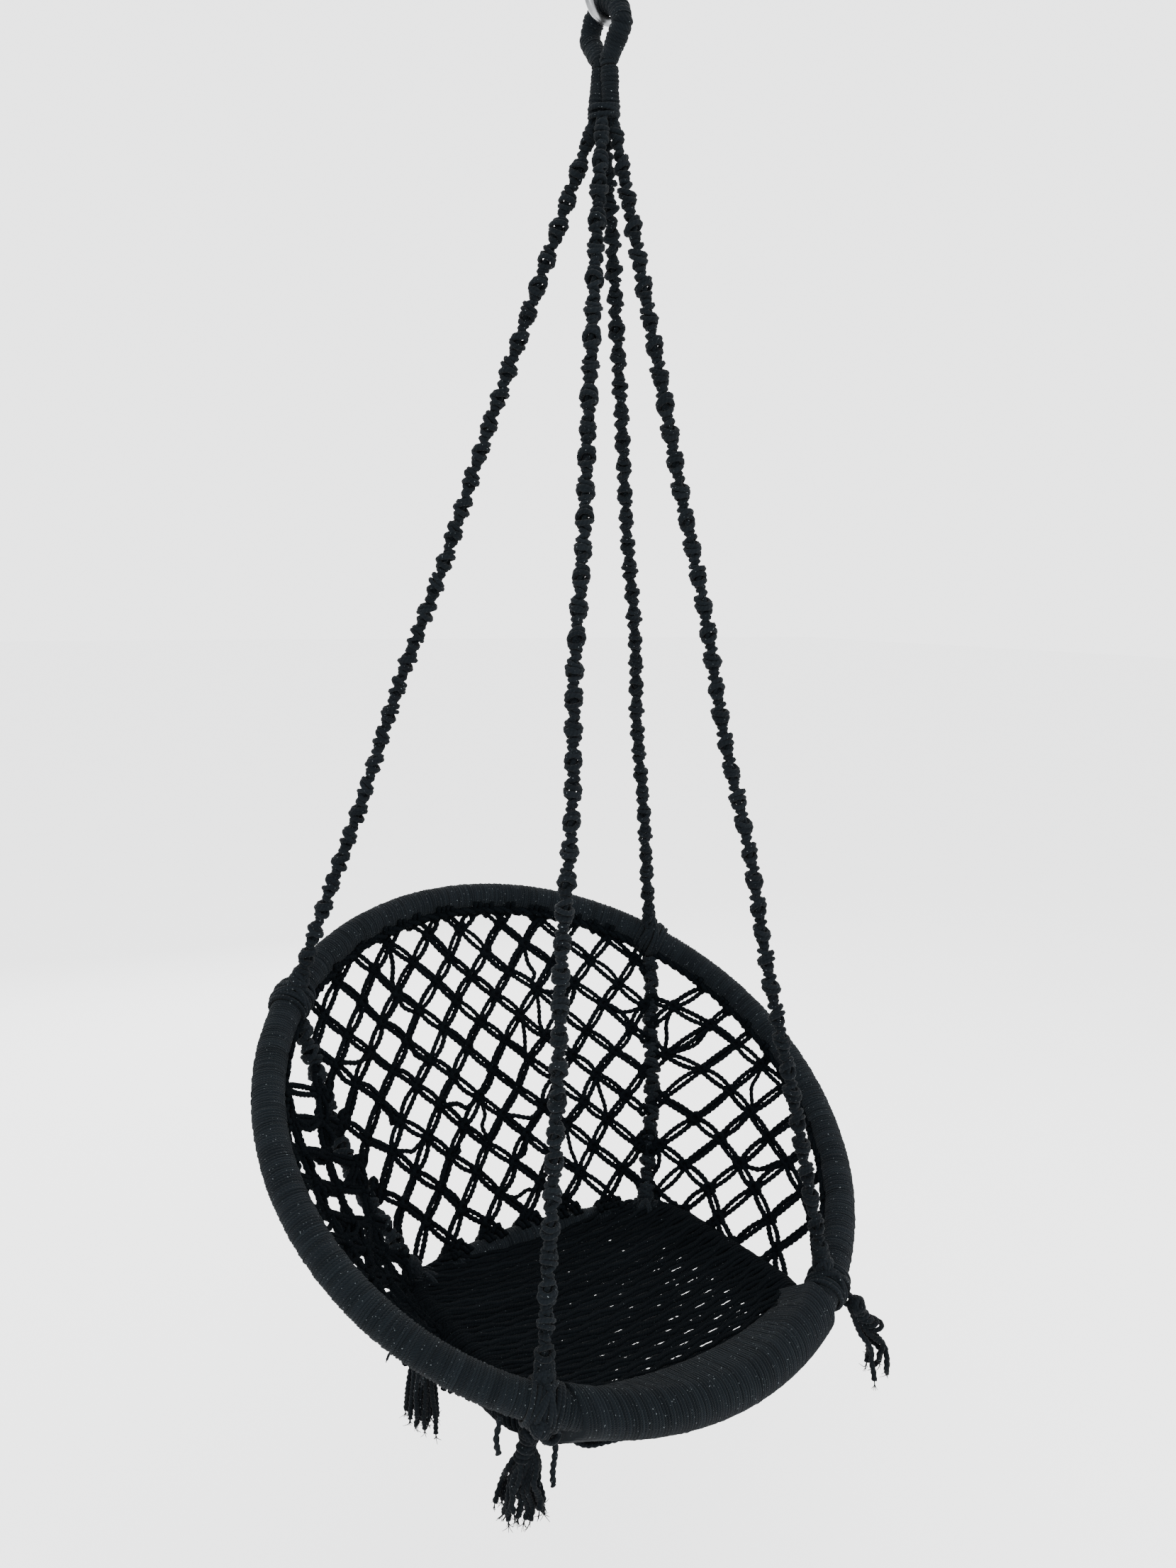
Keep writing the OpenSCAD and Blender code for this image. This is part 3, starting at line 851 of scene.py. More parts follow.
@dataclass
class Studio:
    """The plain floor, soft lights and camera."""

    place: tuple[float, float, float] = (-0.87159, -1.23370, -0.69493)
    yaw: float = 35.153         # degrees from +Y towards +X
    pitch: float = -8.723       # degrees above the horizon
    roll: float = -1.183
    lens: float = 29.0
    sensor: float = 36.0
    floor_drop: float = 0.34
    floor_size: float = 60.0
    surround: float = 3.2       # how brightly the surroundings shine
    lamps: tuple = (("key", (-2.2, -2.6, 1.2), 2.4, 120.0), ("fill", (2.8, -1.6, 0.2), 2.6, 60.0),
                    ("back", (0.6, 3.0, 0.8), 2.6, 70.0))       # name, place, size and power

    def camera(self) -> None:
        """Makes the scene's camera."""
        data = bpy.data.cameras.new("camera")
        data.sensor_fit = "VERTICAL"
        data.sensor_height = self.sensor
        data.sensor_width = self.sensor
        data.lens = self.lens
        data.clip_end = 100.0
        cam = bpy.data.objects.new("camera", data)
        bpy.context.scene.collection.objects.link(cam)
        yaw, pitch, roll = (math.radians(a) for a in (self.yaw, self.pitch, self.roll))
        forward = Vector((math.sin(yaw) * math.cos(pitch), math.cos(yaw) * math.cos(pitch), math.sin(pitch)))
        right = Vector((math.cos(yaw), -math.sin(yaw), 0.0))
        down = -right.cross(forward)
        level = right * math.cos(roll) + down * math.sin(roll)
        drop = down * math.cos(roll) - right * math.sin(roll)
        turn = Matrix((level, -drop, -forward)).transposed()
        cam.matrix_world = Matrix.Translation(self.place) @ turn.to_4x4()
        bpy.context.scene.camera = cam

    def floor(self) -> None:
        """Makes the pale floor and its material."""
        bpy.ops.object.select_all(action="DESELECT")
        bpy.ops.mesh.primitive_plane_add(size=self.floor_size, location=(0, 0, CAD_LOW.z - self.floor_drop))
        floor = bpy.context.object
        floor.name = "floor"
        finish, tree, shader = new_material("pale_floor")
        preset(shader, {"Roughness": 0.9})
        place = tree.nodes.new("ShaderNodeTexCoord").outputs["Object"]
        colour = mix_colour(tree, noise(tree, place, 3.0, 3.0), (0.93, 0.93, 0.93), (0.96, 0.96, 0.96))
        link(tree, (colour, shader.inputs["Base Color"]))
        floor.data.materials.append(finish)

    def light(self) -> None:
        """Makes the soft area lights and the pale surround."""
        middle = (CAD_LOW + CAD_HIGH) / 2
        for name, place, size, power in self.lamps:
            data = bpy.data.lights.new(name, "AREA")
            data.size = size
            data.energy = power
            lamp = bpy.data.objects.new(name, data)
            bpy.context.scene.collection.objects.link(lamp)
            lamp.location = middle + Vector(place)
            lamp.rotation_euler = (middle - lamp.location).to_track_quat("-Z", "Y").to_euler()
        world = bpy.data.worlds.new("surround")
        bpy.context.scene.world = world
        world.use_nodes = True
        background = world.node_tree.nodes["Background"]
        background.inputs[0].default_value = (0.97, 0.975, 0.98, 1.0)
        background.inputs[1].default_value = self.surround

    def build(self) -> None:
        """Makes the camera, floor and lights."""
        self.camera()
        self.floor()
        self.light()


# ---- loose cords ----


@dataclass
class LooseCords:
    """The two cord ends that hang free from the front of the chair."""

    diameter: float = 6 * MM
    ply: float = 19 * MM
    short_route: tuple = ((-248, -212, -1541), (-248, -212, -1548), (-249, -212, -1555), (-251, -212, -1562),
                          (-252, -213, -1569), (-251, -213, -1577), (-249, -213, -1585))
    long_route: tuple = ((-187.4, -223.7, -1560), (-187.4, -223.7, -1569), (-187, -224, -1579),
                         (-186, -225, -1589), (-186, -225, -1599), (-187, -225, -1609), (-188, -224, -1620),
                         (-188, -224, -1630), (-187, -224, -1641))

    def build(self) -> None:
        """Makes both cords."""
        for name, route in (("short_loose_cord", self.short_route), ("long_loose_cord", self.long_route)):
            points = np.array(route) * MM
            path = smooth_path(points, 1.5 * MM)
            cord = CordMesh(SEED)
            cord.cord(path, self.diameter / 2, 10, lobe=0.26, pitch=self.ply)
            piece = cord.build(name + "_twisted", ROPE_COTTON, "chair", (name,))


# ---- hook, loop and neck ----


@dataclass
class Hook:
    """The ceiling hook: bright steel, with a rolled thread on its shank."""

    thread_pitch: float = 1.75 * MM
    thread_rise: float = 0.45 * MM
    bar_r: float = 5 * MM
    plain_tip: float = 2 * MM       # length of shank above the thread

    def thread(self) -> None:
        """Models the thread as a sharp profile screwed up the shank."""
        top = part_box("ceiling_hook")[1].z - self.plain_tip
        turns = int(top / self.thread_pitch)
        bpy.ops.object.select_all(action="DESELECT")
        bpy.ops.mesh.primitive_circle_add(vertices=4, radius=self.thread_rise * 1.5, fill_type="NOTHING",
                                          location=(self.bar_r, 0, 0), rotation=(math.pi / 2, 0, 0))
        thread = bpy.context.object
        thread.name = "shank_thread"
        bpy.ops.object.transform_apply(location=True, rotation=True, scale=True)
        screw = thread.modifiers.new("screw", "SCREW")
        screw.axis = "Z"
        screw.steps = screw.render_steps = 24
        screw.screw_offset = self.thread_pitch
        screw.iterations = turns
        screw.use_merge_vertices = False
        bpy.ops.object.modifier_apply(modifier="screw")
        bpy.ops.object.mode_set(mode="EDIT")
        bpy.ops.mesh.select_all(action="SELECT")
        bpy.ops.mesh.remove_doubles(threshold=1e-6)
        bpy.ops.mesh.select_all(action="DESELECT")
        bpy.ops.mesh.select_non_manifold(extend=False)
        bpy.ops.mesh.fill_holes(sides=8)
        bpy.ops.mesh.select_all(action="SELECT")
        bpy.ops.mesh.normals_make_consistent(inside=False)
        bpy.ops.object.mode_set(mode="OBJECT")
        bpy.ops.object.shade_smooth_by_angle(angle=math.radians(40))
        thread.data.materials.append(HOOK_STEEL.material())
        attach(thread, "hook")
        LOG.info("shank_thread: %d turns", turns)

    def build(self) -> None:
        """Dresses the hook and makes its thread."""
        self.thread()
        dress(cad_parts["ceiling_hook"], HOOK_STEEL.material())


def dress(node: bpy.types.Object, material: bpy.types.Material) -> None:
    """Gives a CAD node a material.

    Args:
        node: The node, which takes it in every slot it has.
        material: The material.
    """
    if not node.material_slots:
        node.data.materials.append(material)
    for place in node.material_slots:
        place.material = material


@dataclass
class HangingLoop:
    """The wound eye that hangs on the hook, and the two wound arms twisted together below it."""

    arm_r: float = 12 * MM
    crown_r: float = 30 * MM
    low_r: float = 10.3 * MM        # radius of an arm below the eye
    low_y: float = 8.2 * MM         # half the spacing of the arms there
    turn: float = 0.75              # how far the arms turn about each other by the neck's foot, in radians
    pitch: float = 4.1 * MM
    eye_h: float = 26 * MM          # height from where the eye's legs close to the crown's centre
    round_off: float = 8 * MM       # length over which a bundle's end is rounded
    band_long: float = 16.4 * MM    # half the length and width of the bands round the neck's foot
    band_short: float = 15.4 * MM
    core_r: float = 3.4 * MM        # how far the inner cords lie from a bundle's middle
    step: float = 2 * MM

    def arms_at(self, z: float, side: int) -> tuple[float, float, float]:
        """One arm's middle at a height below the eye.

        Args:
            z: The height.
            side: Which arm, as a sign along Y.

        Returns:
            The arm's middle.
        """
        top, foot = self.eye_foot(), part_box("neck_wrap")[0].z
        turn = self.turn * ((top - z) / (top - foot)) ** 1.4
        return -side * self.low_y * math.sin(turn), side * self.low_y * math.cos(turn), z

    def crown_z(self) -> float:
        """The height of the crown's centre."""
        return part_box("loop_wrap")[1].z - self.crown_r - self.arm_r

    def eye_foot(self) -> float:
        """The height at which the eye's two legs have closed."""
        return self.crown_z() - self.eye_h

    def eye_path(self) -> np.ndarray:
        """Draws the middle line of the loop.

        Returns:
            Its points, up one leg from the throat, over the crown and down the other.
        """
        crown, foot = self.crown_z(), self.eye_foot()
        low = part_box("loop_wrap")[0].z - 0.4 * MM
        arc = [(0, -self.crown_r * math.cos(a), crown + self.crown_r * math.sin(a))
               for a in np.linspace(0, math.pi, 19)]
        leg = [low, lerp(low, foot, 0.5), foot - self.step]
        up, down = [self.arms_at(z, -1) for z in leg], [self.arms_at(z, 1) for z in leg[::-1]]
        return smooth_path([*up, *arc, *down], self.step)

    def wind(self, mesh: CordMesh, path: np.ndarray, radius: Callable[[float, float], float]) -> None:
        """Winds one bundle of cords from end to end.

        Args:
            mesh: The mesh to add to.
            path: The bundle's middle line.
            radius: A function from a length along it, and its whole length, to the winding's outside radius.
        """
        _, n, b = moving_frames(path, False)
        along = np.concatenate([[0], np.cumsum(np.linalg.norm(np.diff(path, axis=0), axis=1))])
        whole = along[-1]

        def pick(values: np.ndarray, s: float) -> np.ndarray:
            """One of the path's values at a length along it."""
            return np.array([np.interp(s, along, values[:, i]) for i in range(3)])

        mesh.sleeve(lambda s: pick(path, s), lambda s: pick(n, s), lambda s: pick(b, s),
                    lambda s: radius(s, whole), self.pitch, whole, sides=20, depth=1.2 * MM)

    def rounded(self, s: float, whole: float) -> float:
        """How much thinner a bundle is near its ends, at a length along it."""
        return min(1.0, 0.8 + min(s, whole - s) / self.round_off)

    def eye_radius(self, s: float, whole: float) -> float:
        """The eye's outside radius, which is less where its two legs close.

        Args:
            s: The length along it.
            whole: Its whole length.

        Returns:
            The radius.
        """
        end = min(s, whole - s)
        share = min(1.0, max(0.0, (end - self.step) / self.eye_h))
        return lerp(self.low_r, self.arm_r, share) * self.rounded(s, whole)

    def build(self) -> None:
        """Winds the eye with its throat, and the neck's two arms."""
        loop = CordMesh(SEED + 1)
        self.wind(loop, self.eye_path(), self.eye_radius)
        loop.build("loop_winding", ROPE_COTTON, "loop", ("loop_wrap",))
        core = CordMesh(SEED + 6)
        self.fill(core, self.eye_path()[4:-4])
        core.build("loop_core_cords", CORE_COTTON, "loop", ("loop_cords",))
        neck, core = CordMesh(SEED + 2), CordMesh(SEED + 7)
        low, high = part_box("neck_wrap")
        for side in (-1, 1):
            path = smooth_path([self.arms_at(z, side) for z in np.linspace(high.z, low.z, 9)], self.step)
            self.fill(core, path[3:-3])
            self.wind(neck, path, lambda s, whole: self.low_r * self.rounded(s, whole))
        for k in range(3):
            middle = np.array([0, 0, low.z + (3 + 4.5 * k) * MM])
            lean = unit(np.array([1.0, 0.2, 0.16 * (-1) ** k]))
            aside = np.array([-0.2, 1.0, 0.0])
            neck.ring(middle, lean, aside, self.band_long, self.band_short, CORD_R, 34, 6)
        neck.build("neck_winding", ROPE_COTTON, "neck", ("neck_wrap",))
        core.build("neck_core_cords", CORE_COTTON, "neck", ("neck_cords",))

    def fill(self, mesh: CordMesh, path: np.ndarray) -> None:
        """Lays three plain cords along a bundle, inside its winding.

        Args:
            mesh: The mesh to add to.
            path: The bundle's middle line.
        """
        _, n, b = moving_frames(path, False)
        for k in range(3):
            a = CIRCLE * k / 3
            mesh.cord(path + self.core_r * (math.cos(a) * n + math.sin(a) * b), CORD_R, 6)


# ---- hoops ----


@dataclass
class Hoops:
    """The wound cord on both hoops, with the steel tubes inside."""

    loose_end_angles: tuple = (-58.0, -52.0)        # in degrees from the hoop's front
    loose_r: float = 1.2 * MM

    def big(self) -> None:
        """Winds the big hoop and leaves a few cut cord ends on its outside."""
        mesh = CordMesh(SEED + 3)
        length = CIRCLE * BIG.radius
        mesh.sleeve(lambda s: BIG.point(s / BIG.radius), lambda s: BIG.out(s / BIG.radius),
                    lambda s: BIG.across, lambda s: WRAP_R, TURN_PITCH, length, sides=18, closed=True)
        for angle in self.loose_end_angles:
            a = math.radians(angle)
            start = BIG.point(a) + (BIG.out(a) * 0.5 + BIG.across * 0.85) * (WRAP_R - 1 * MM)
            for _ in range(3):
                way = BIG.out(a) * mesh.rng.uniform(0.1, 0.7) + BIG.across
                way = unit(way + np.array([mesh.rng.uniform(-0.5, 0.5), mesh.rng.uniform(-0.5, 0.5), -0.2]))
                reach = mesh.rng.uniform(8, 14) * MM
                points = [start, start + way * reach * 0.5, start + way * reach - UP * 4 * MM]
                mesh.cord(smooth_path(points, 2 * MM), self.loose_r, 5, taper=0.5)
        mesh.build("big_hoop_winding", HOOP_COTTON, "chair", ("big_hoop_wrap",))

    def seat(self) -> None:
        """Winds the seat hoop."""
        mesh = CordMesh(SEED + 4)
        mesh.sleeve(lambda s: SEAT.at(s)[0], lambda s: SEAT.at(s)[1], lambda s: -UP,
                    lambda s: WRAP_R - 0.2 * MM, TURN_PITCH * 1.1, 2 * SEAT.half_len, sides=16, closed=True)
        mesh.build("seat_hoop_winding", HOOP_COTTON, "chair", ("seat_hoop_wrap",))

    def build(self) -> None:
        """Makes both windings and dresses the tubes."""
        self.big()
        self.seat()
        for node in ("big_hoop_tube", "seat_hoop_tube"):
            dress(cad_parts[node], TUBE_STEEL.material())


@dataclass
class FrontBinding:
    """One broad winding round both hoops along the front."""

    wall: float = 5 * MM
    clear: float = 0.6 * MM
    half_w: float = 180 * MM        # the winding runs on over the solid's ends, up to the two lashings
    sides: int = 44
    groove: float = 1.5 * MM
    girth: float = 0.26             # length of cord that one turn takes, in metres

    def section(self, x: float, rise: np.ndarray) -> np.ndarray:
        """The winding's outline at a place along X.

        Args:
            x: The place.
            rise: How far each point of the outline stands from the hoops' wound cord.

        Returns:
            The outline's points, anticlockwise about +X.
        """
        angle = math.asin(x / BIG.radius)
        big = BIG.point(angle)
        front_s = next(s for s in np.linspace(0, SEAT.half_len / 2, 600) if SEAT.at(s)[0][0] >= abs(x))
        seat, out = SEAT.at(front_s)
        points = []
        for k, lift in enumerate(rise):
            heading = CIRCLE * k / self.sides
            h = np.array([math.cos(heading), math.sin(heading)])
            r = WRAP_R + lift
            b = big[1:] + self.reach(r / math.cos(angle), r, BIG.tilt, heading)
            c = np.array([seat[1], SEAT.z]) + self.reach(r / max(0.5, -out[1]), r, 0.0, heading)
            far = b if b @ h > c @ h else c
            points.append([x, *far])
        return np.array(points)

    def reach(self, long: float, short: float, turn: float, heading: float) -> np.ndarray:
        """Finds an ellipse's furthest point along a heading, in the YZ plane.

        Args:
            long: The ellipse's first half axis.
            short: Its second one.
            turn: The angle of the first from +Y.
            heading: The heading's angle.

        Returns:
            The point's offset from the ellipse's centre.
        """
        u, v = math.cos(heading - turn), math.sin(heading - turn)
        k = math.hypot(long * u, short * v)
        e, f = long * long * u / k, short * short * v / k
        return np.array([e * math.cos(turn) - f * math.sin(turn), e * math.sin(turn) + f * math.cos(turn)])

    def build(self) -> None:
        """Makes the binding, turn by turn."""
        mesh = CordMesh(SEED + 5)
        turns = round(2 * self.half_w / TURN_PITCH)
        rings, tint, v = [], [], []
        a = CIRCLE * np.arange(self.sides) / self.sides
        for turn in range(turns):
            shade, bulge = mesh.rng.random(), mesh.rng.uniform(-0.5, 0.5) * MM
            phase = mesh.rng.uniform(0, ANY_PHASE)
            for share, height in TURN_PROFILE:
                x = lerp(-self.half_w, self.half_w, (turn + share) / turns)
                swell = bulge * height * (1 + np.sin(a + phase)) / 2
                rise = self.clear + self.wall - self.groove * (1 - height) + swell
                ring = self.section(x, rise)
                ring[:, 0] += height * 0.5 * MM * np.sin(a * 2 + phase)
                rings.append(ring)
                tint.append(shade)
                v.append(turn + share)
        around = np.linspace(0, self.girth, self.sides + 1)
        u = np.repeat(around[None, :], len(rings), 0)
        mesh.grid(np.array(rings), u, np.repeat(np.array(v)[:, None], self.sides + 1, 1), np.array(tint))
        mesh.build("front_binding_winding", HOOP_COTTON, "chair", ("front_binding",))


# ---- ropes and the knots that hold them ----


@dataclass
class SpiralRope:
    """A rope of half knots that turns as it is tied, so that it shows beads with waists between them."""

    name: str
    start: np.ndarray
    end: np.ndarray
    plain: float
    knot_pitch: float = 5.5 * MM
    bead: float = 33 * MM           # length from one bead to the next
    wide: float = 9.6 * MM          # reach of a knot in the middle of a bead
    waist: float = 3.9 * MM
    flat: float = 0.84              # a knot's short reach as a share of its long one
    cord_r: float = 3.1 * MM
    core_gap: float = 2.2 * MM      # how far the two core cords lie from the rope's middle
    plain_gap: float = 4 * MM       # how far the four plain cords do, at its top
    slant: float = 28.0             # degrees that a knot leans along the rope
    lead: float = 24 * MM           # length that is knotted beyond the rope's end, into its lashing
    slim: float = 70 * MM           # length at the top over which the knots grow
    bow: tuple = (0.0, 0.0, 0.0)    # how far the rope's middle lies aside
    wander: float = 1.7 * MM

    def build(self, seed: int) -> None:
        """Makes the rope: plain cords at its top, then knots round its two core cords.

        Args:
            seed: The seed of its random draws.
        """
        mesh = CordMesh(seed)
        way = unit(self.end - self.start)
        side = unit(np.cross(way, np.array([0.0, 1.0, 0.0])))
        fore = np.cross(way, side)
        whole = float(np.linalg.norm(self.end - self.start))
        phase = mesh.rng.uniform(0, ANY_PHASE)

        def middle(s: float) -> np.ndarray:
            """The rope's middle line, which wanders a little between its two ends."""
            drift = self.wander * (math.sin(s * 17 + phase) * side + math.cos(s * 23 + phase) * fore)
            return self.start + way * s + math.sin(math.pi * s / whole) * (drift + np.array(self.bow))

        def aside(turn: float, reach: float) -> np.ndarray:
            """A step off the middle line, turned about it."""
            return reach * (math.cos(turn) * side + math.sin(turn) * fore)

        for k in range(2):
            path = np.array([middle(s) + aside(math.pi * k + s * 200, self.core_gap)
                             for s in np.arange(0, whole, 4 * MM)])
            mesh.cord(path, self.cord_r, 5, lobe=0.05)
        if self.plain:
            for k in range(4):
                path = np.array([middle(s) + aside(math.pi / 2 * k + s * 60, self.plain_gap)
                                 for s in np.arange(-7 * MM, self.plain + 10 * MM, 2.5 * MM)])
                mesh.cord(path, self.cord_r, 6)
        s, index, turn = self.plain, 0, phase
        swell = mesh.rng.uniform(0, ANY_PHASE)
        while s < whole + self.lead:
            turn += math.pi * self.knot_pitch / self.bead * mesh.rng.uniform(0.8, 1.2)
            swell += CIRCLE * self.knot_pitch / self.bead * mesh.rng.uniform(0.94, 1.06)
            share = (0.5 - 0.5 * math.cos(swell)) ** 0.8
            reach = lerp(self.waist, self.wide, share) * mesh.rng.uniform(0.92, 1.08)
            reach *= lerp(0.72, 1.0, min(1.0, s / self.slim)) if self.plain else 1.0
            across = aside(turn, 1.0)
            up = np.cross(way, across)
            tilt = math.radians(self.slant + mesh.rng.uniform(-10, 10)) * (1 if index % 3 else -1)
            lean = unit(across * math.cos(tilt) + way * math.sin(tilt))
            place = middle(min(s, whole)) + way * max(0.0, s - whole)
            thick = self.cord_r * mesh.rng.uniform(0.9, 1.1)
            mesh.ring(place, lean, up, reach, reach * self.flat, thick, 14, 6)
            s += self.knot_pitch * mesh.rng.uniform(0.93, 1.07)
            index += 1
        LOG.info("%s: %d half knots", self.name, index)
        mesh.build(self.name + "_knotted", ROPE_COTTON, "chair", (self.name,))


@dataclass
class Ropes:
    """The four hanging ropes, the two lower ones and every lashing."""

    spread: float = 8 * MM
    top_gap: float = 4 * MM
    end_gap: float = 33 * MM
    plain: float = 5 * MM
    lash_turns: int = 7
    lash_r: float = WRAP_R + CORD_R
    strap_len: float = 104 * MM
    hoop_gap: float = 3 * MM

    def rope(self, side: Side, rear: bool, seed: int) -> None:
        """Makes one hanging rope, from the neck to the big hoop.

        Args:
            side: Its side of the chair.
            rear: Whether it is a rear one.
            seed: The seed of its random draws.
        """
        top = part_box("neck_wrap")[0].z - self.top_gap
        start = np.array([side.value * self.spread, self.spread if rear else -self.spread, top])
        hoop = BIG.point(rope_angle(side, rear))
        end = hoop - unit(hoop - start) * self.end_gap
        name = f"{'rear' if rear else 'front'}_{side.word}_rope"
        SpiralRope(name, start, end, self.plain).build(seed)

    def lower(self, side: Side, seed: int) -> None:
        """Makes the thicker rope from the big hoop down to the seat's rear corner.

        Args:
            side: Its side of the chair.
            seed: The seed of its random draws.
        """
        top = BIG.point(rope_angle(side, True))
        foot = seat_corner(side)[0]
        way = unit(foot - top)
        start, end = top + way * (WRAP_R + self.hoop_gap), foot - way * self.end_gap
        SpiralRope(f"rear_{side.word}_lower_rope", start, end, 0.0, wide=11.5 * MM, waist=7.0 * MM,
                   cord_r=3.4 * MM, wander=5 * MM, bow=(side.value * 16 * MM, 10 * MM, 0.0)).build(seed)

    def lashing(self, name: str, middle: np.ndarray, along: np.ndarray, out: np.ndarray, rope_way: np.ndarray,
                seed: int, big_knot: bool = False) -> None:
        """Makes one lashing: turns of cord round a hoop, crossed ones over them and the knot below the rope.

        Args:
            name: The CAD node's name.
            middle: The hoop tube's middle.
            along: The hoop's heading there.
            out: The direction across the hoop, outwards.
            rope_way: The direction in which the rope leaves.
            seed: The seed of its random draws.
            big_knot: Whether it is the bulky one, with a strap of cords beside it.
        """
        mesh = CordMesh(seed)
        up = np.cross(along, out)
        for turn in range(self.lash_turns):
            shift = (turn - (self.lash_turns - 1) / 2) * 2 * CORD_R * 0.97
            lean = mesh.rng.uniform(-0.06, 0.06)
            mesh.ring(middle + along * shift, unit(out + along * lean), unit(up + along * lean), self.lash_r,
                      self.lash_r, CORD_R, 40, 6)
        reach = self.lash_r + CORD_R * 1.1
        for cross in (-1, 1, 0.55, -0.5):
            mesh.ring(middle, unit(out + along * 0.55 * cross), up, reach, reach, CORD_R, 40, 6)
        mesh.fist(middle + rope_way * (self.lash_r + 6 * MM), 14 * MM, 9)
        mesh.fist(middle + rope_way * (self.lash_r + 16 * MM), 12.5 * MM, 6)
        if big_knot:
            mesh.fist(middle - rope_way * (self.lash_r + 2 * MM) + along * 8 * MM, 15 * MM, 10)
            mesh.fist(middle + out * (self.lash_r + 1 * MM), 13 * MM, 8)
            self.strap(mesh, middle)
        mesh.build(name + "_cords", ROPE_COTTON, "chair", (name,))

    def strap(self, mesh: CordMesh, middle: np.ndarray) -> None:
        """Adds the few cords that run close under the front binding from the bulky knot.

        Args:
            mesh: The mesh to add to.
            middle: The hoop tube's middle at the knot.
        """
        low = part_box("front_binding")[0].z - 1.5 * MM
        for k in range(3):
            points = [middle + np.array([0, (k - 1) * 5 * MM, -self.lash_r])]
            for share in (0.3, 0.55, 0.8, 1.0):
                x = middle[0] + share * self.strap_len
                y = SEAT.front_y + 0.5 * x * x / SEAT.bow_r
                z = lerp(middle[2] - self.lash_r, low, min(1.0, share / 0.5))
                points.append([x, y - (13 - 6 * k) * MM, z + mesh.rng.uniform(-1.5, 1) * MM])
            mesh.cord(smooth_path(points, 2.5 * MM), CORD_R, 6, lobe=0.22)

    def build(self) -> None:
        """Makes every rope and lashing."""
        seed = SEED + 10
        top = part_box("neck_wrap")[0].z
        for side in Side:
            for rear in (False, True):
                self.rope(side, rear, seed)
                angle = rope_angle(side, rear)
                middle, out = BIG.point(angle), BIG.out(angle)
                way = unit(np.array([0, 0, top]) - middle)
                name = f"{'rear' if rear else 'front'}_{side.word}_lashing"
                self.lashing(name, middle, unit(np.cross(out, BIG.across)), out, way, seed + 40,
                             big_knot=side is Side.LEFT and not rear)
                seed += 1
            self.lower(side, seed + 20)
            foot, out = seat_corner(side)
            way = unit(BIG.point(rope_angle(side, True)) - foot)
            self.lashing(f"seat_{side.word}_lashing", foot, unit(np.cross(UP, out)), out, way, seed + 60)


# ---- net ----


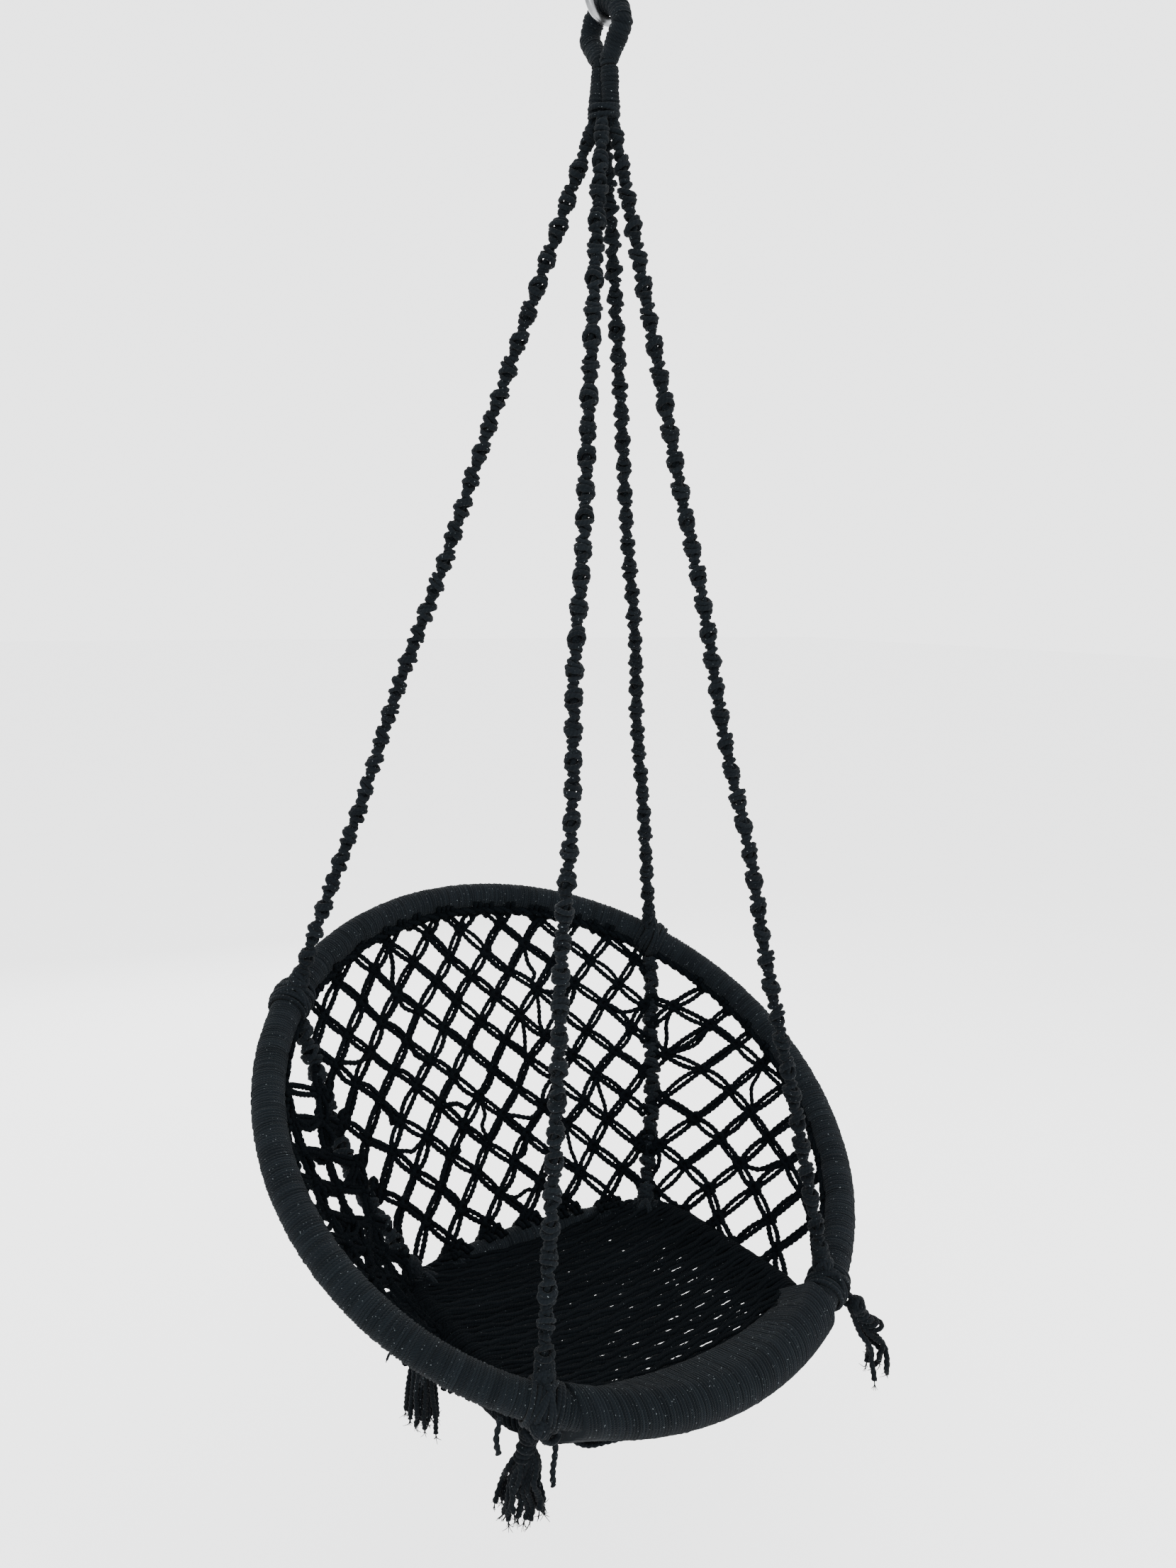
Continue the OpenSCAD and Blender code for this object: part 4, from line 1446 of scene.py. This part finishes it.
@dataclass
class NetPanel:
    """One panel of the knotted net, between the big hoop and the seat hoop.

    Its knots stand in a lattice of equal cells, which the hoops and the lower ropes cut off.
    """

    name: str
    axis: int                       # the axis along which the cells are spaced: 0 for X, 1 for Y
    cell: float                     # half a cell's width along it
    angles: tuple[float, float]
    feet: tuple[float, float]
    mirror: bool = False
    row_h: float = 30 * MM
    pair_gap: float = 3.3 * MM
    sag: float = 7 * MM
    cord_r: float = 3.7 * MM
    margin: float = 13 * MM         # least space between a lattice knot and a wound hoop
    slack_links: int = 10
    climb: float = 0.0              # how steeply the rows rise towards the axis's low end
    shift: float = 0.0              # how far each row lies along the axis from the one above
    samples: int = 161              # places along the panel where both hoops are worked out
    edge_tries: int = 34
    edge_step: float = 0.06         # share of a pair's length that is tried at a time
    tops: np.ndarray = field(init=False)
    foots: np.ndarray = field(init=False)

    def __post_init__(self) -> None:
        """Works out the hoop tubes' middles above and below the whole panel."""
        ends = [self.ends(t) for t in np.linspace(0, 1, self.samples)]
        self.tops, self.foots = (np.array(places) for places in zip(*ends))

    def ends(self, t: float) -> tuple[np.ndarray, np.ndarray]:
        """Finds the hoop tubes' middles above and below a place of the panel.

        Args:
            t: The place's share along the panel.

        Returns:
            The big hoop's and the seat hoop's.
        """
        top = BIG.point(lerp(*self.angles, t))
        foot = SEAT.at(lerp(*self.feet, t))[0]
        return (top * MIRROR, foot * MIRROR) if self.mirror else (top, foot)

    def outward(self, t: float) -> np.ndarray:
        """Finds the direction square to the net, away from the seat.

        Args:
            t: The share along the panel.

        Returns:
            The direction.
        """
        a, b = self.ends(max(0.0, t - 0.02)), self.ends(min(1.0, t + 0.02))
        down = unit(self.ends(t)[1] - self.ends(t)[0])
        out = unit(np.cross(down, (b[0] - a[0]) + (b[1] - a[1])))
        middle = self.ends(t)[0] * 0.5 + self.ends(t)[1] * 0.5 - BIG.centre
        return out if out @ (middle * LEVEL) > 0 else -out

    def spot(self, t: float, depth: float) -> np.ndarray:
        """Finds a point of the net.

        Args:
            t: Its share along the panel.
            depth: Its depth below the big hoop's tube.

        Returns:
            The point.
        """
        top, foot = self.ends(t)
        share = min(1.0, depth / self.length(t))
        return top + (foot - top) * share + self.outward(t) * self.sag * math.sin(math.pi * share)

    def length(self, t: float) -> float:
        """The distance between the hoops' tubes at a share t."""
        top, foot = self.ends(t)
        return float(np.linalg.norm(foot - top))

    def hoop_loop(self, mesh: CordMesh, tube: np.ndarray, along: np.ndarray, towards: np.ndarray) -> None:
        """Adds a small hitch: two turns of cord round a hoop, open on its far side.

        Args:
            mesh: The mesh to add to.
            tube: The hoop tube's middle.
            along: The hoop's heading there.
            towards: The direction towards the net.
        """
        towards = unit(towards - along * (towards @ along))
        up = np.cross(along, towards)
        reach = WRAP_R + self.cord_r * 0.5
        for shift in (-1, 1):
            middle = tube + along * shift * self.cord_r * 1.05
            start = mesh.rng.uniform(-0.1, 0.1)
            w = np.linspace(-0.95 + start, 0.95 + start, 13)[:, None]
            mesh.cord(middle + reach * (np.cos(w) * towards + np.sin(w) * up), self.cord_r * 0.95, 6)

    def pair(self, mesh: CordMesh, start: np.ndarray, end: np.ndarray, out: np.ndarray) -> None:
        """Adds two cords side by side between two knots, bowed apart in the middle.

        Args:
            mesh: The mesh to add to.
            start: The first knot's place.
            end: The second one's.
            out: The direction square to the net.
        """
        way = end - start
        across = unit(np.cross(way, out))
        wander = out * mesh.rng.uniform(-2, 2) * MM + across * mesh.rng.uniform(-2, 2) * MM
        for side in (-1, 1):
            bow = self.pair_gap * mesh.rng.uniform(0.35, 1.35)
            t = np.linspace(0, 1, max(5, int(np.linalg.norm(way) / (2.7 * MM))))[:, None]
            arch = np.sin(math.pi * t)
            path = start + way * t + side * across * (1.5 * MM + bow * arch**0.8) + wander * arch
            path = path + out * side * mesh.rng.uniform(-1, 1) * MM * arch
            mesh.cord(path, self.cord_r * mesh.rng.uniform(0.88, 1.06), 6, lobe=0.22)

    def locate(self, along: float, z: float) -> tuple[float, float, float]:
        """Finds a place of the lattice on the panel.

        Args:
            along: The place along the panel's axis.
            z: Its height.

        Returns:
            Its share along the panel, its depth below the big hoop's tube, and how far beyond the panel's
            ends it lies.
        """
        share = (self.tops[:, 2] - z) / (self.tops[:, 2] - self.foots[:, 2])
        place = self.tops[:, self.axis] * (1 - share) + self.foots[:, self.axis] * share
        best = int(np.argmin(np.abs(place - along)))
        t = best / (len(self.tops) - 1)
        return t, float(share[best]) * self.length(t), abs(float(place[best]) - along)

    def inside(self, t: float, depth: float, beyond: float, margin: float) -> bool:
        """Whether a place is on the panel, clear of the hoops and the panel's ends by a margin."""
        clear = WRAP_R + margin
        return beyond < 4 * MM and clear < depth < self.length(t) - clear

    def edge(self, start: tuple[float, float], step: tuple[float, float]) -> tuple[float, float]:
        """Follows a cord from a knot to the panel's edge.

        Args:
            start: The knot's place along the panel's axis and its height.
            step: The same two measures from it to the next knot, if there were one.

        Returns:
            The share along the panel, and the depth, where the cord ends.
        """
        last = self.locate(*start)
        for k in range(1, self.edge_tries):
            here = self.locate(start[0] + step[0] * k * self.edge_step,
                               start[1] + step[1] * k * self.edge_step)
            if not self.inside(*here, 1 * MM):
                break
            last = here
        return last[0], last[1]

    def build(self, seed: int, knot: Pattern) -> None:
        """Ties the whole panel, row by row.

        Args:
            seed: The seed of its random draws.
            knot: The pattern of one knot.
        """
        mesh = CordMesh(seed)
        both = np.vstack([self.tops, self.foots])
        low, high = both[:, self.axis].min(), both[:, self.axis].max()
        ceiling = both[:, 2].max()
        rows = int((ceiling - both[:, 2].min() + self.climb * (high - low)) / self.row_h) + 1
        columns = int((high - low + abs(self.shift) * rows) / self.cell) + 1
        spots: dict[tuple[int, int], np.ndarray] = {}
        places: dict[tuple[int, int], tuple[float, float]] = {}
        for row in range(rows):
            for step in range(row % 2, columns, 2):
                along = low + (step + 0.5) * self.cell
                place = (along + self.shift * row,
                         ceiling - (row + 0.4) * self.row_h + self.climb * (high - along))
                jitter = mesh.rng.uniform(-3, 3) * MM, mesh.rng.uniform(-3, 3) * MM
                t, depth, beyond = self.locate(place[0] + jitter[0], place[1] + jitter[1])
                if self.inside(t, depth, beyond, self.margin):
                    places[row, step] = place
                    spots[row, step] = self.spot(t, depth)
                    self.tie(mesh, knot, spots[row, step], t)
        for (row, step), spot in spots.items():
            for down, aside in ((1, -1), (1, 1), (-1, -1), (-1, 1)):
                beside = spots.get((row + down, step + aside))
                out = self.outward(self.locate(*places[row, step])[0])
                if beside is not None:
                    if down > 0:
                        self.pair(mesh, spot, beside, out)
                    continue
                rise = -down * self.row_h - self.climb * aside * self.cell
                run = aside * self.cell + down * self.shift
                end = self.edge(places[row, step], (run, rise))
                self.pair(mesh, spot, self.spot(*end), out)
                self.finish_edge(mesh, knot, *end)
        self.heading(mesh)
        self.slack(mesh, list(spots.values()))
        mesh.build(self.name + "_knots", NET_COTTON, "chair", (self.name,))

    def finish_edge(self, mesh: CordMesh, knot: Pattern, t: float, depth: float) -> None:
        """Ties a cord's end to the hoop or rope that it has reached.

        Args:
            mesh: The mesh to add to.
            knot: The pattern of one knot.
            t: The end's share along the panel.
            depth: Its depth below the big hoop's tube.
        """
        whole = self.length(t)
        reach = WRAP_R + 8 * MM
        if depth < reach or depth > whole - reach:
            which = 0 if depth < reach else 1
            tube = self.ends(t)[which]
            near = self.ends(min(1.0, t + 0.01))[which] - self.ends(max(0.0, t - 0.01))[which]
            self.hoop_loop(mesh, tube, unit(near), self.spot(t, depth) - tube)
        self.tie(mesh, knot, self.spot(t, depth), t)

    def tie(self, mesh: CordMesh, knot: Pattern, place: np.ndarray, t: float) -> None:
        """Copies a knot to a place on the net, turned into the net's plane.

        Args:
            mesh: The mesh to add to.
            knot: The pattern of one knot.
            place: The knot's place.
            t: Its share along the panel.
        """
        out = self.outward(t)
        down = unit(self.ends(t)[1] - self.ends(t)[0])
        across = unit(np.cross(down, out))
        turn = mesh.rng.uniform(-0.4, 0.4)
        grow = mesh.rng.uniform(0.9, 1.12)
        x = across * math.cos(turn) + down * math.sin(turn)
        axes = np.stack([x * grow, np.cross(out, x) * grow, out * grow], 1)
        mesh.stamp(knot, place, axes)

    def heading(self, mesh: CordMesh) -> None:
        """Adds the thick four-cord braid that lies along the big hoop's inside.

        Args:
            mesh: The mesh to add to.
        """
        span = abs(self.angles[1] - self.angles[0]) * BIG.radius
        count = int(span / (3 * MM))
        for strand in range(4):
            points = []
            for i in range(count + 1):
                t = i / count
                w = span * t / (10 * MM) + strand * math.pi / 2
                tube = self.ends(t)[0]
                towards = unit(self.spot(t, 0.1) - tube)
                out = self.outward(t)
                points.append(tube + towards * (WRAP_R + 1.5 * MM + 2.6 * MM * math.sin(2 * w))
                              - out * (5 * MM + 6 * MM * math.sin(w)))
            mesh.cord(np.array(points), self.cord_r, 6)

    def slack(self, mesh: CordMesh, spots: list) -> None:
        """Adds slack cords that hang loosely from one knot to another close by.

        Args:
            mesh: The mesh to add to.
            spots: The knots' places.
        """
        for _ in range(self.slack_links):
            start = mesh.rng.choice(spots)
            near = [p for p in spots if 0.01 < np.linalg.norm(p - start) < 2.6 * self.cell]
            if not near:
                continue
            end = mesh.rng.choice(near)
            inward = unit((BIG.centre - start) * LEVEL)
            points = [start]
            for share in (0.3, 0.6, 0.85):
                drop = mesh.rng.uniform(2, 13) * MM * math.sin(math.pi * share)
                aside = np.array([mesh.rng.uniform(-5, 5) * MM for _ in range(3)])
                lift = inward * mesh.rng.uniform(0, 6) * MM
                points.append(start + (end - start) * share - UP * drop + lift + aside)
            thick = self.cord_r * mesh.rng.uniform(0.8, 1.0)
            mesh.cord(smooth_path([*points, end], 3 * MM), thick, 6, lobe=0.2)


@dataclass
class Net:
    """The three panels of the net."""

    front_a: float = math.radians(38)
    rope_gap_a: float = math.radians(1.0)
    front_s: float = 8 * MM
    rope_gap_s: float = 6 * MM
    side_cell: float = 36 * MM
    back_cell: float = 31 * MM
    knot_w: float = 22 * MM
    knot_cord_r: float = 3.6 * MM

    def build(self) -> None:
        """Models a knot once and ties the panels with it."""
        knot = net_knot_pattern(self.knot_w, self.knot_cord_r)
        angles = (self.front_a, REAR_ROPE_A - self.rope_gap_a)
        feet = (SIDE_START + self.front_s, REAR_CORNER_S - self.rope_gap_s)
        NetPanel("right_net", 1, self.side_cell * 0.88, angles, feet, row_h=29 * MM, slack_links=6,
                 climb=0.3, shift=-10.5 * MM).build(SEED + 30, knot)
        NetPanel("left_net", 1, self.side_cell * 0.72, angles, feet, mirror=True,
                 slack_links=150).build(SEED + 31, knot)
        back = (REAR_ROPE_A + self.rope_gap_a, CIRCLE - REAR_ROPE_A - self.rope_gap_a)
        rear = (REAR_CORNER_S + self.rope_gap_s, 2 * SEAT.half_len - REAR_CORNER_S - self.rope_gap_s)
        NetPanel("back_net", 0, self.back_cell, back, rear, slack_links=24).build(SEED + 32, knot)


# ---- seat ----


@dataclass
class SeatWeave:
    """The seat: bundles of cord from side to side, tied to their neighbours so that small slits stay open."""

    cords: int = 3
    pitch: float = 15.6 * MM
    cord_r: float = 2.8 * MM
    slit_pitch: float = 46 * MM
    sway: float = 1.9 * MM
    low: float = 3 * MM             # height of the seat's middle over the hoop's own
    gap: float = 3 * MM             # between the outermost bundles' middles and the wound hoop
    crown: float = 2 * MM           # how far a bundle's middle cord stands over its neighbours
    step: float = 5 * MM
    turn_steps: int = 9

    def over_hoop(self, y: float, x_edge: float, lift: float) -> list:
        """The end of a cord: over the seat hoop, down its outside and back in underneath.

        Args:
            y: The cord's place along Y.
            x_edge: The hoop tube's middle along X there.
            lift: How far the cord stands off the wound hoop.

        Returns:
            Points from the hoop's top, in order.
        """
        r = WRAP_R + lift
        return [(x_edge + r * math.sin(a), y, SEAT.z + r * math.cos(a))
                for a in np.linspace(-0.05, math.pi + 0.3, self.turn_steps)]

    def build(self) -> None:
        """Lays every bundle across the seat, slung from the tops of the side runs."""
        mesh = CordMesh(SEED + 50)
        front, rear = SEAT.front_y + WRAP_R + self.gap, SEAT.rear_y - WRAP_R - self.gap
        count = int((rear - front) / self.pitch)
        for bundle in range(count + 1):
            y0 = lerp(front, rear, bundle / count)
            for cord in range(self.cords):
                place = cord - (self.cords - 1) / 2
                crown = 0.0 if place else self.crown
                y = y0 + place * 2 * self.cord_r * 0.86
                lift = self.cord_r * mesh.rng.uniform(0.85, 1.1)
                x_edge = SEAT.reach(y)
                flat = x_edge - 12 * MM
                right = [*self.over_hoop(y, x_edge, lift), (x_edge - WRAP_R - 14 * MM, y, SEAT.z - 10 * MM)]
                top = WRAP_R + lift - self.low
                middle = []
                for x in np.arange(-flat, flat, self.step):
                    slit = self.sway * math.cos(CIRCLE * x / self.slit_pitch + math.pi * bundle)
                    squeeze = (cord - 1) * 0.6 * MM * math.cos(4 * math.pi * x / self.slit_pitch)
                    height = self.low + top * abs(x / x_edge) ** 2.2 + crown
                    middle.append((x, y + slit + squeeze + mesh.rng.uniform(-0.35, 0.35) * MM,
                                   SEAT.z + height + mesh.rng.uniform(-0.4, 0.4) * MM))
                left = [(-p[0], p[1], p[2]) for p in right][::-1]
                mesh.cord(smooth_path([*left, *middle, *right], 6 * MM), self.cord_r, 6, lobe=0.06)
        mesh.build("seat_weave_cords", SEAT_COTTON, "chair", ("seat_weave",))


# ---- tassels ----


@dataclass
class Tassel:
    """A tassel of cord ends: its knot, wound neck and frayed cords."""

    name: str
    lashing: str
    strands: int
    neck_h: float = 34 * MM
    knot_r: float = 11 * MM
    spread: float = 19 * MM
    lean: tuple[float, float] = (0.0, 0.0)      # how far the bunch lies aside of its knot, along X and Y
    cord_r: float = 3.2 * MM
    ragged: float = 24 * MM                     # spread of the cords' lengths
    wave: float = 3.2 * MM
    neck_turns: int = 5
    neck_r: float = 7.4 * MM
    yarns: int = 6                              # fine yarns that a cord's end comes apart into
    yarn_r: float = 0.8 * MM

    def fray(self, mesh: CordMesh, end: np.ndarray, way: np.ndarray) -> None:
        """Adds fine unravelled yarns at a cord's end.

        Args:
            mesh: The mesh to add to.
            end: The cord's end.
            way: The cord's heading there.
        """
        for _ in range(self.yarns):
            aside = np.array([mesh.rng.gauss(0, 0.4) for _ in range(3)])
            reach = mesh.rng.uniform(6, 14) * MM
            tip = end + unit(way + aside) * reach
            curl = end + unit(way + aside * 0.3) * reach * 0.5
            path = smooth_path([end - way * 3 * MM, curl, tip], 3 * MM)
            mesh.cord(path, self.yarn_r, 4, taper=0.35, lobe=0)

    def build(self, seed: int) -> None:
        """Makes the tassel below its knot.

        Args:
            seed: The seed of its random draws.
        """
        low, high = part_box(self.name)
        middle = np.array(((low.x + high.x) / 2, (low.y + high.y) / 2, high.z - self.knot_r))
        mesh = CordMesh(seed)
        mesh.fist(middle, self.knot_r + 2 * MM, 12)
        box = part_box(self.lashing)
        hang = unit(np.array((box[0] + box[1]) / 2) - middle)
        across = unit(np.cross(hang, [0.3, 1.0, 0.1]))
        for slant in (-1, 1):
            wide = unit(across + 0.5 * slant * np.cross(hang, across))
            mesh.ring(middle + hang * 13 * MM, hang, wide, 9 * MM, 6 * MM, self.cord_r, 18, 6)
        lean = np.array([*self.lean, 0])
        neck_z = middle[2] - self.neck_h + 14 * MM
        for turn in range(self.neck_turns):
            share = (turn + 1) / (self.neck_turns + 1)
            place = middle + lean * share**1.3 - UP * (self.knot_r - 4 * MM + 5 * MM * turn)
            slant = unit(np.array([1.0, 0, mesh.rng.uniform(-0.3, 0.3)]))
            reach = self.neck_r * mesh.rng.uniform(0.9, 1.15)
            mesh.ring(place, slant, np.array([0, 1.0, 0]), reach, reach, self.cord_r, 20, 6)
        for k in range(self.strands):
            a = CIRCLE * (k + mesh.rng.uniform(-0.3, 0.3)) / self.strands
            wide = self.spread * mesh.rng.uniform(0.15, 1.0) ** 0.7
            foot = low.z + 6 * MM + mesh.rng.random() * self.ragged
            out = np.array([math.cos(a), math.sin(a), 0])
            wave = mesh.rng.uniform(0.4, 1) * self.wave
            side = np.array([-out[1], out[0], 0])
            phase = mesh.rng.uniform(0, ANY_PHASE)
            points = [middle + out * 3 * MM]
            for share in np.linspace(0, 1, 8):
                z = lerp(middle[2] - self.knot_r, foot, share)
                open_share = max(0.0, (neck_z - z) / (neck_z - foot))
                r = lerp(3.8 * MM, wide, open_share**0.55)
                curl = wave * math.sin(share * 11 + phase) * min(1.0, 3 * open_share)
                points.append(np.array([middle[0], middle[1], z]) + out * r + side * curl
                              + lean * min(1.0, share * 1.6) ** 1.3)
            path = smooth_path(points, 2.6 * MM)
            mesh.cord(path, self.cord_r * mesh.rng.uniform(0.88, 1.08), 6, lobe=0.22)
            self.fray(mesh, path[-1], unit(path[-1] - path[-4]))
        mesh.build(self.name + "_strands", TASSEL_COTTON, self.name, (self.name,))


def tassels() -> None:
    """Makes the four tassels."""
    Tassel("front_left_tassel", "front_left_lashing", 22, spread=27 * MM, lean=(-8 * MM, 4 * MM),
           ragged=16 * MM, wave=5 * MM).build(SEED + 70)
    Tassel("front_right_tassel", "front_right_lashing", 7, spread=17 * MM, lean=(27 * MM, -16 * MM),
           ragged=36 * MM, wave=6 * MM).build(SEED + 71)
    Tassel("rear_left_tassel", "seat_left_lashing", 20, spread=23 * MM, ragged=24 * MM).build(SEED + 72)
    Tassel("rear_right_tassel", "seat_right_lashing", 16, spread=21 * MM, ragged=24 * MM).build(SEED + 73)


def main() -> None:
    """Builds the chair in order."""
    logging.basicConfig(level=logging.INFO, format="%(name)s: %(message)s")
    Studio().build()
    LooseCords().build()
    Hook().build()
    HangingLoop().build()
    Hoops().build()
    FrontBinding().build()
    Ropes().build()
    Net().build()
    SeatWeave().build()
    tassels()


if __name__ == "__main__":
    main()
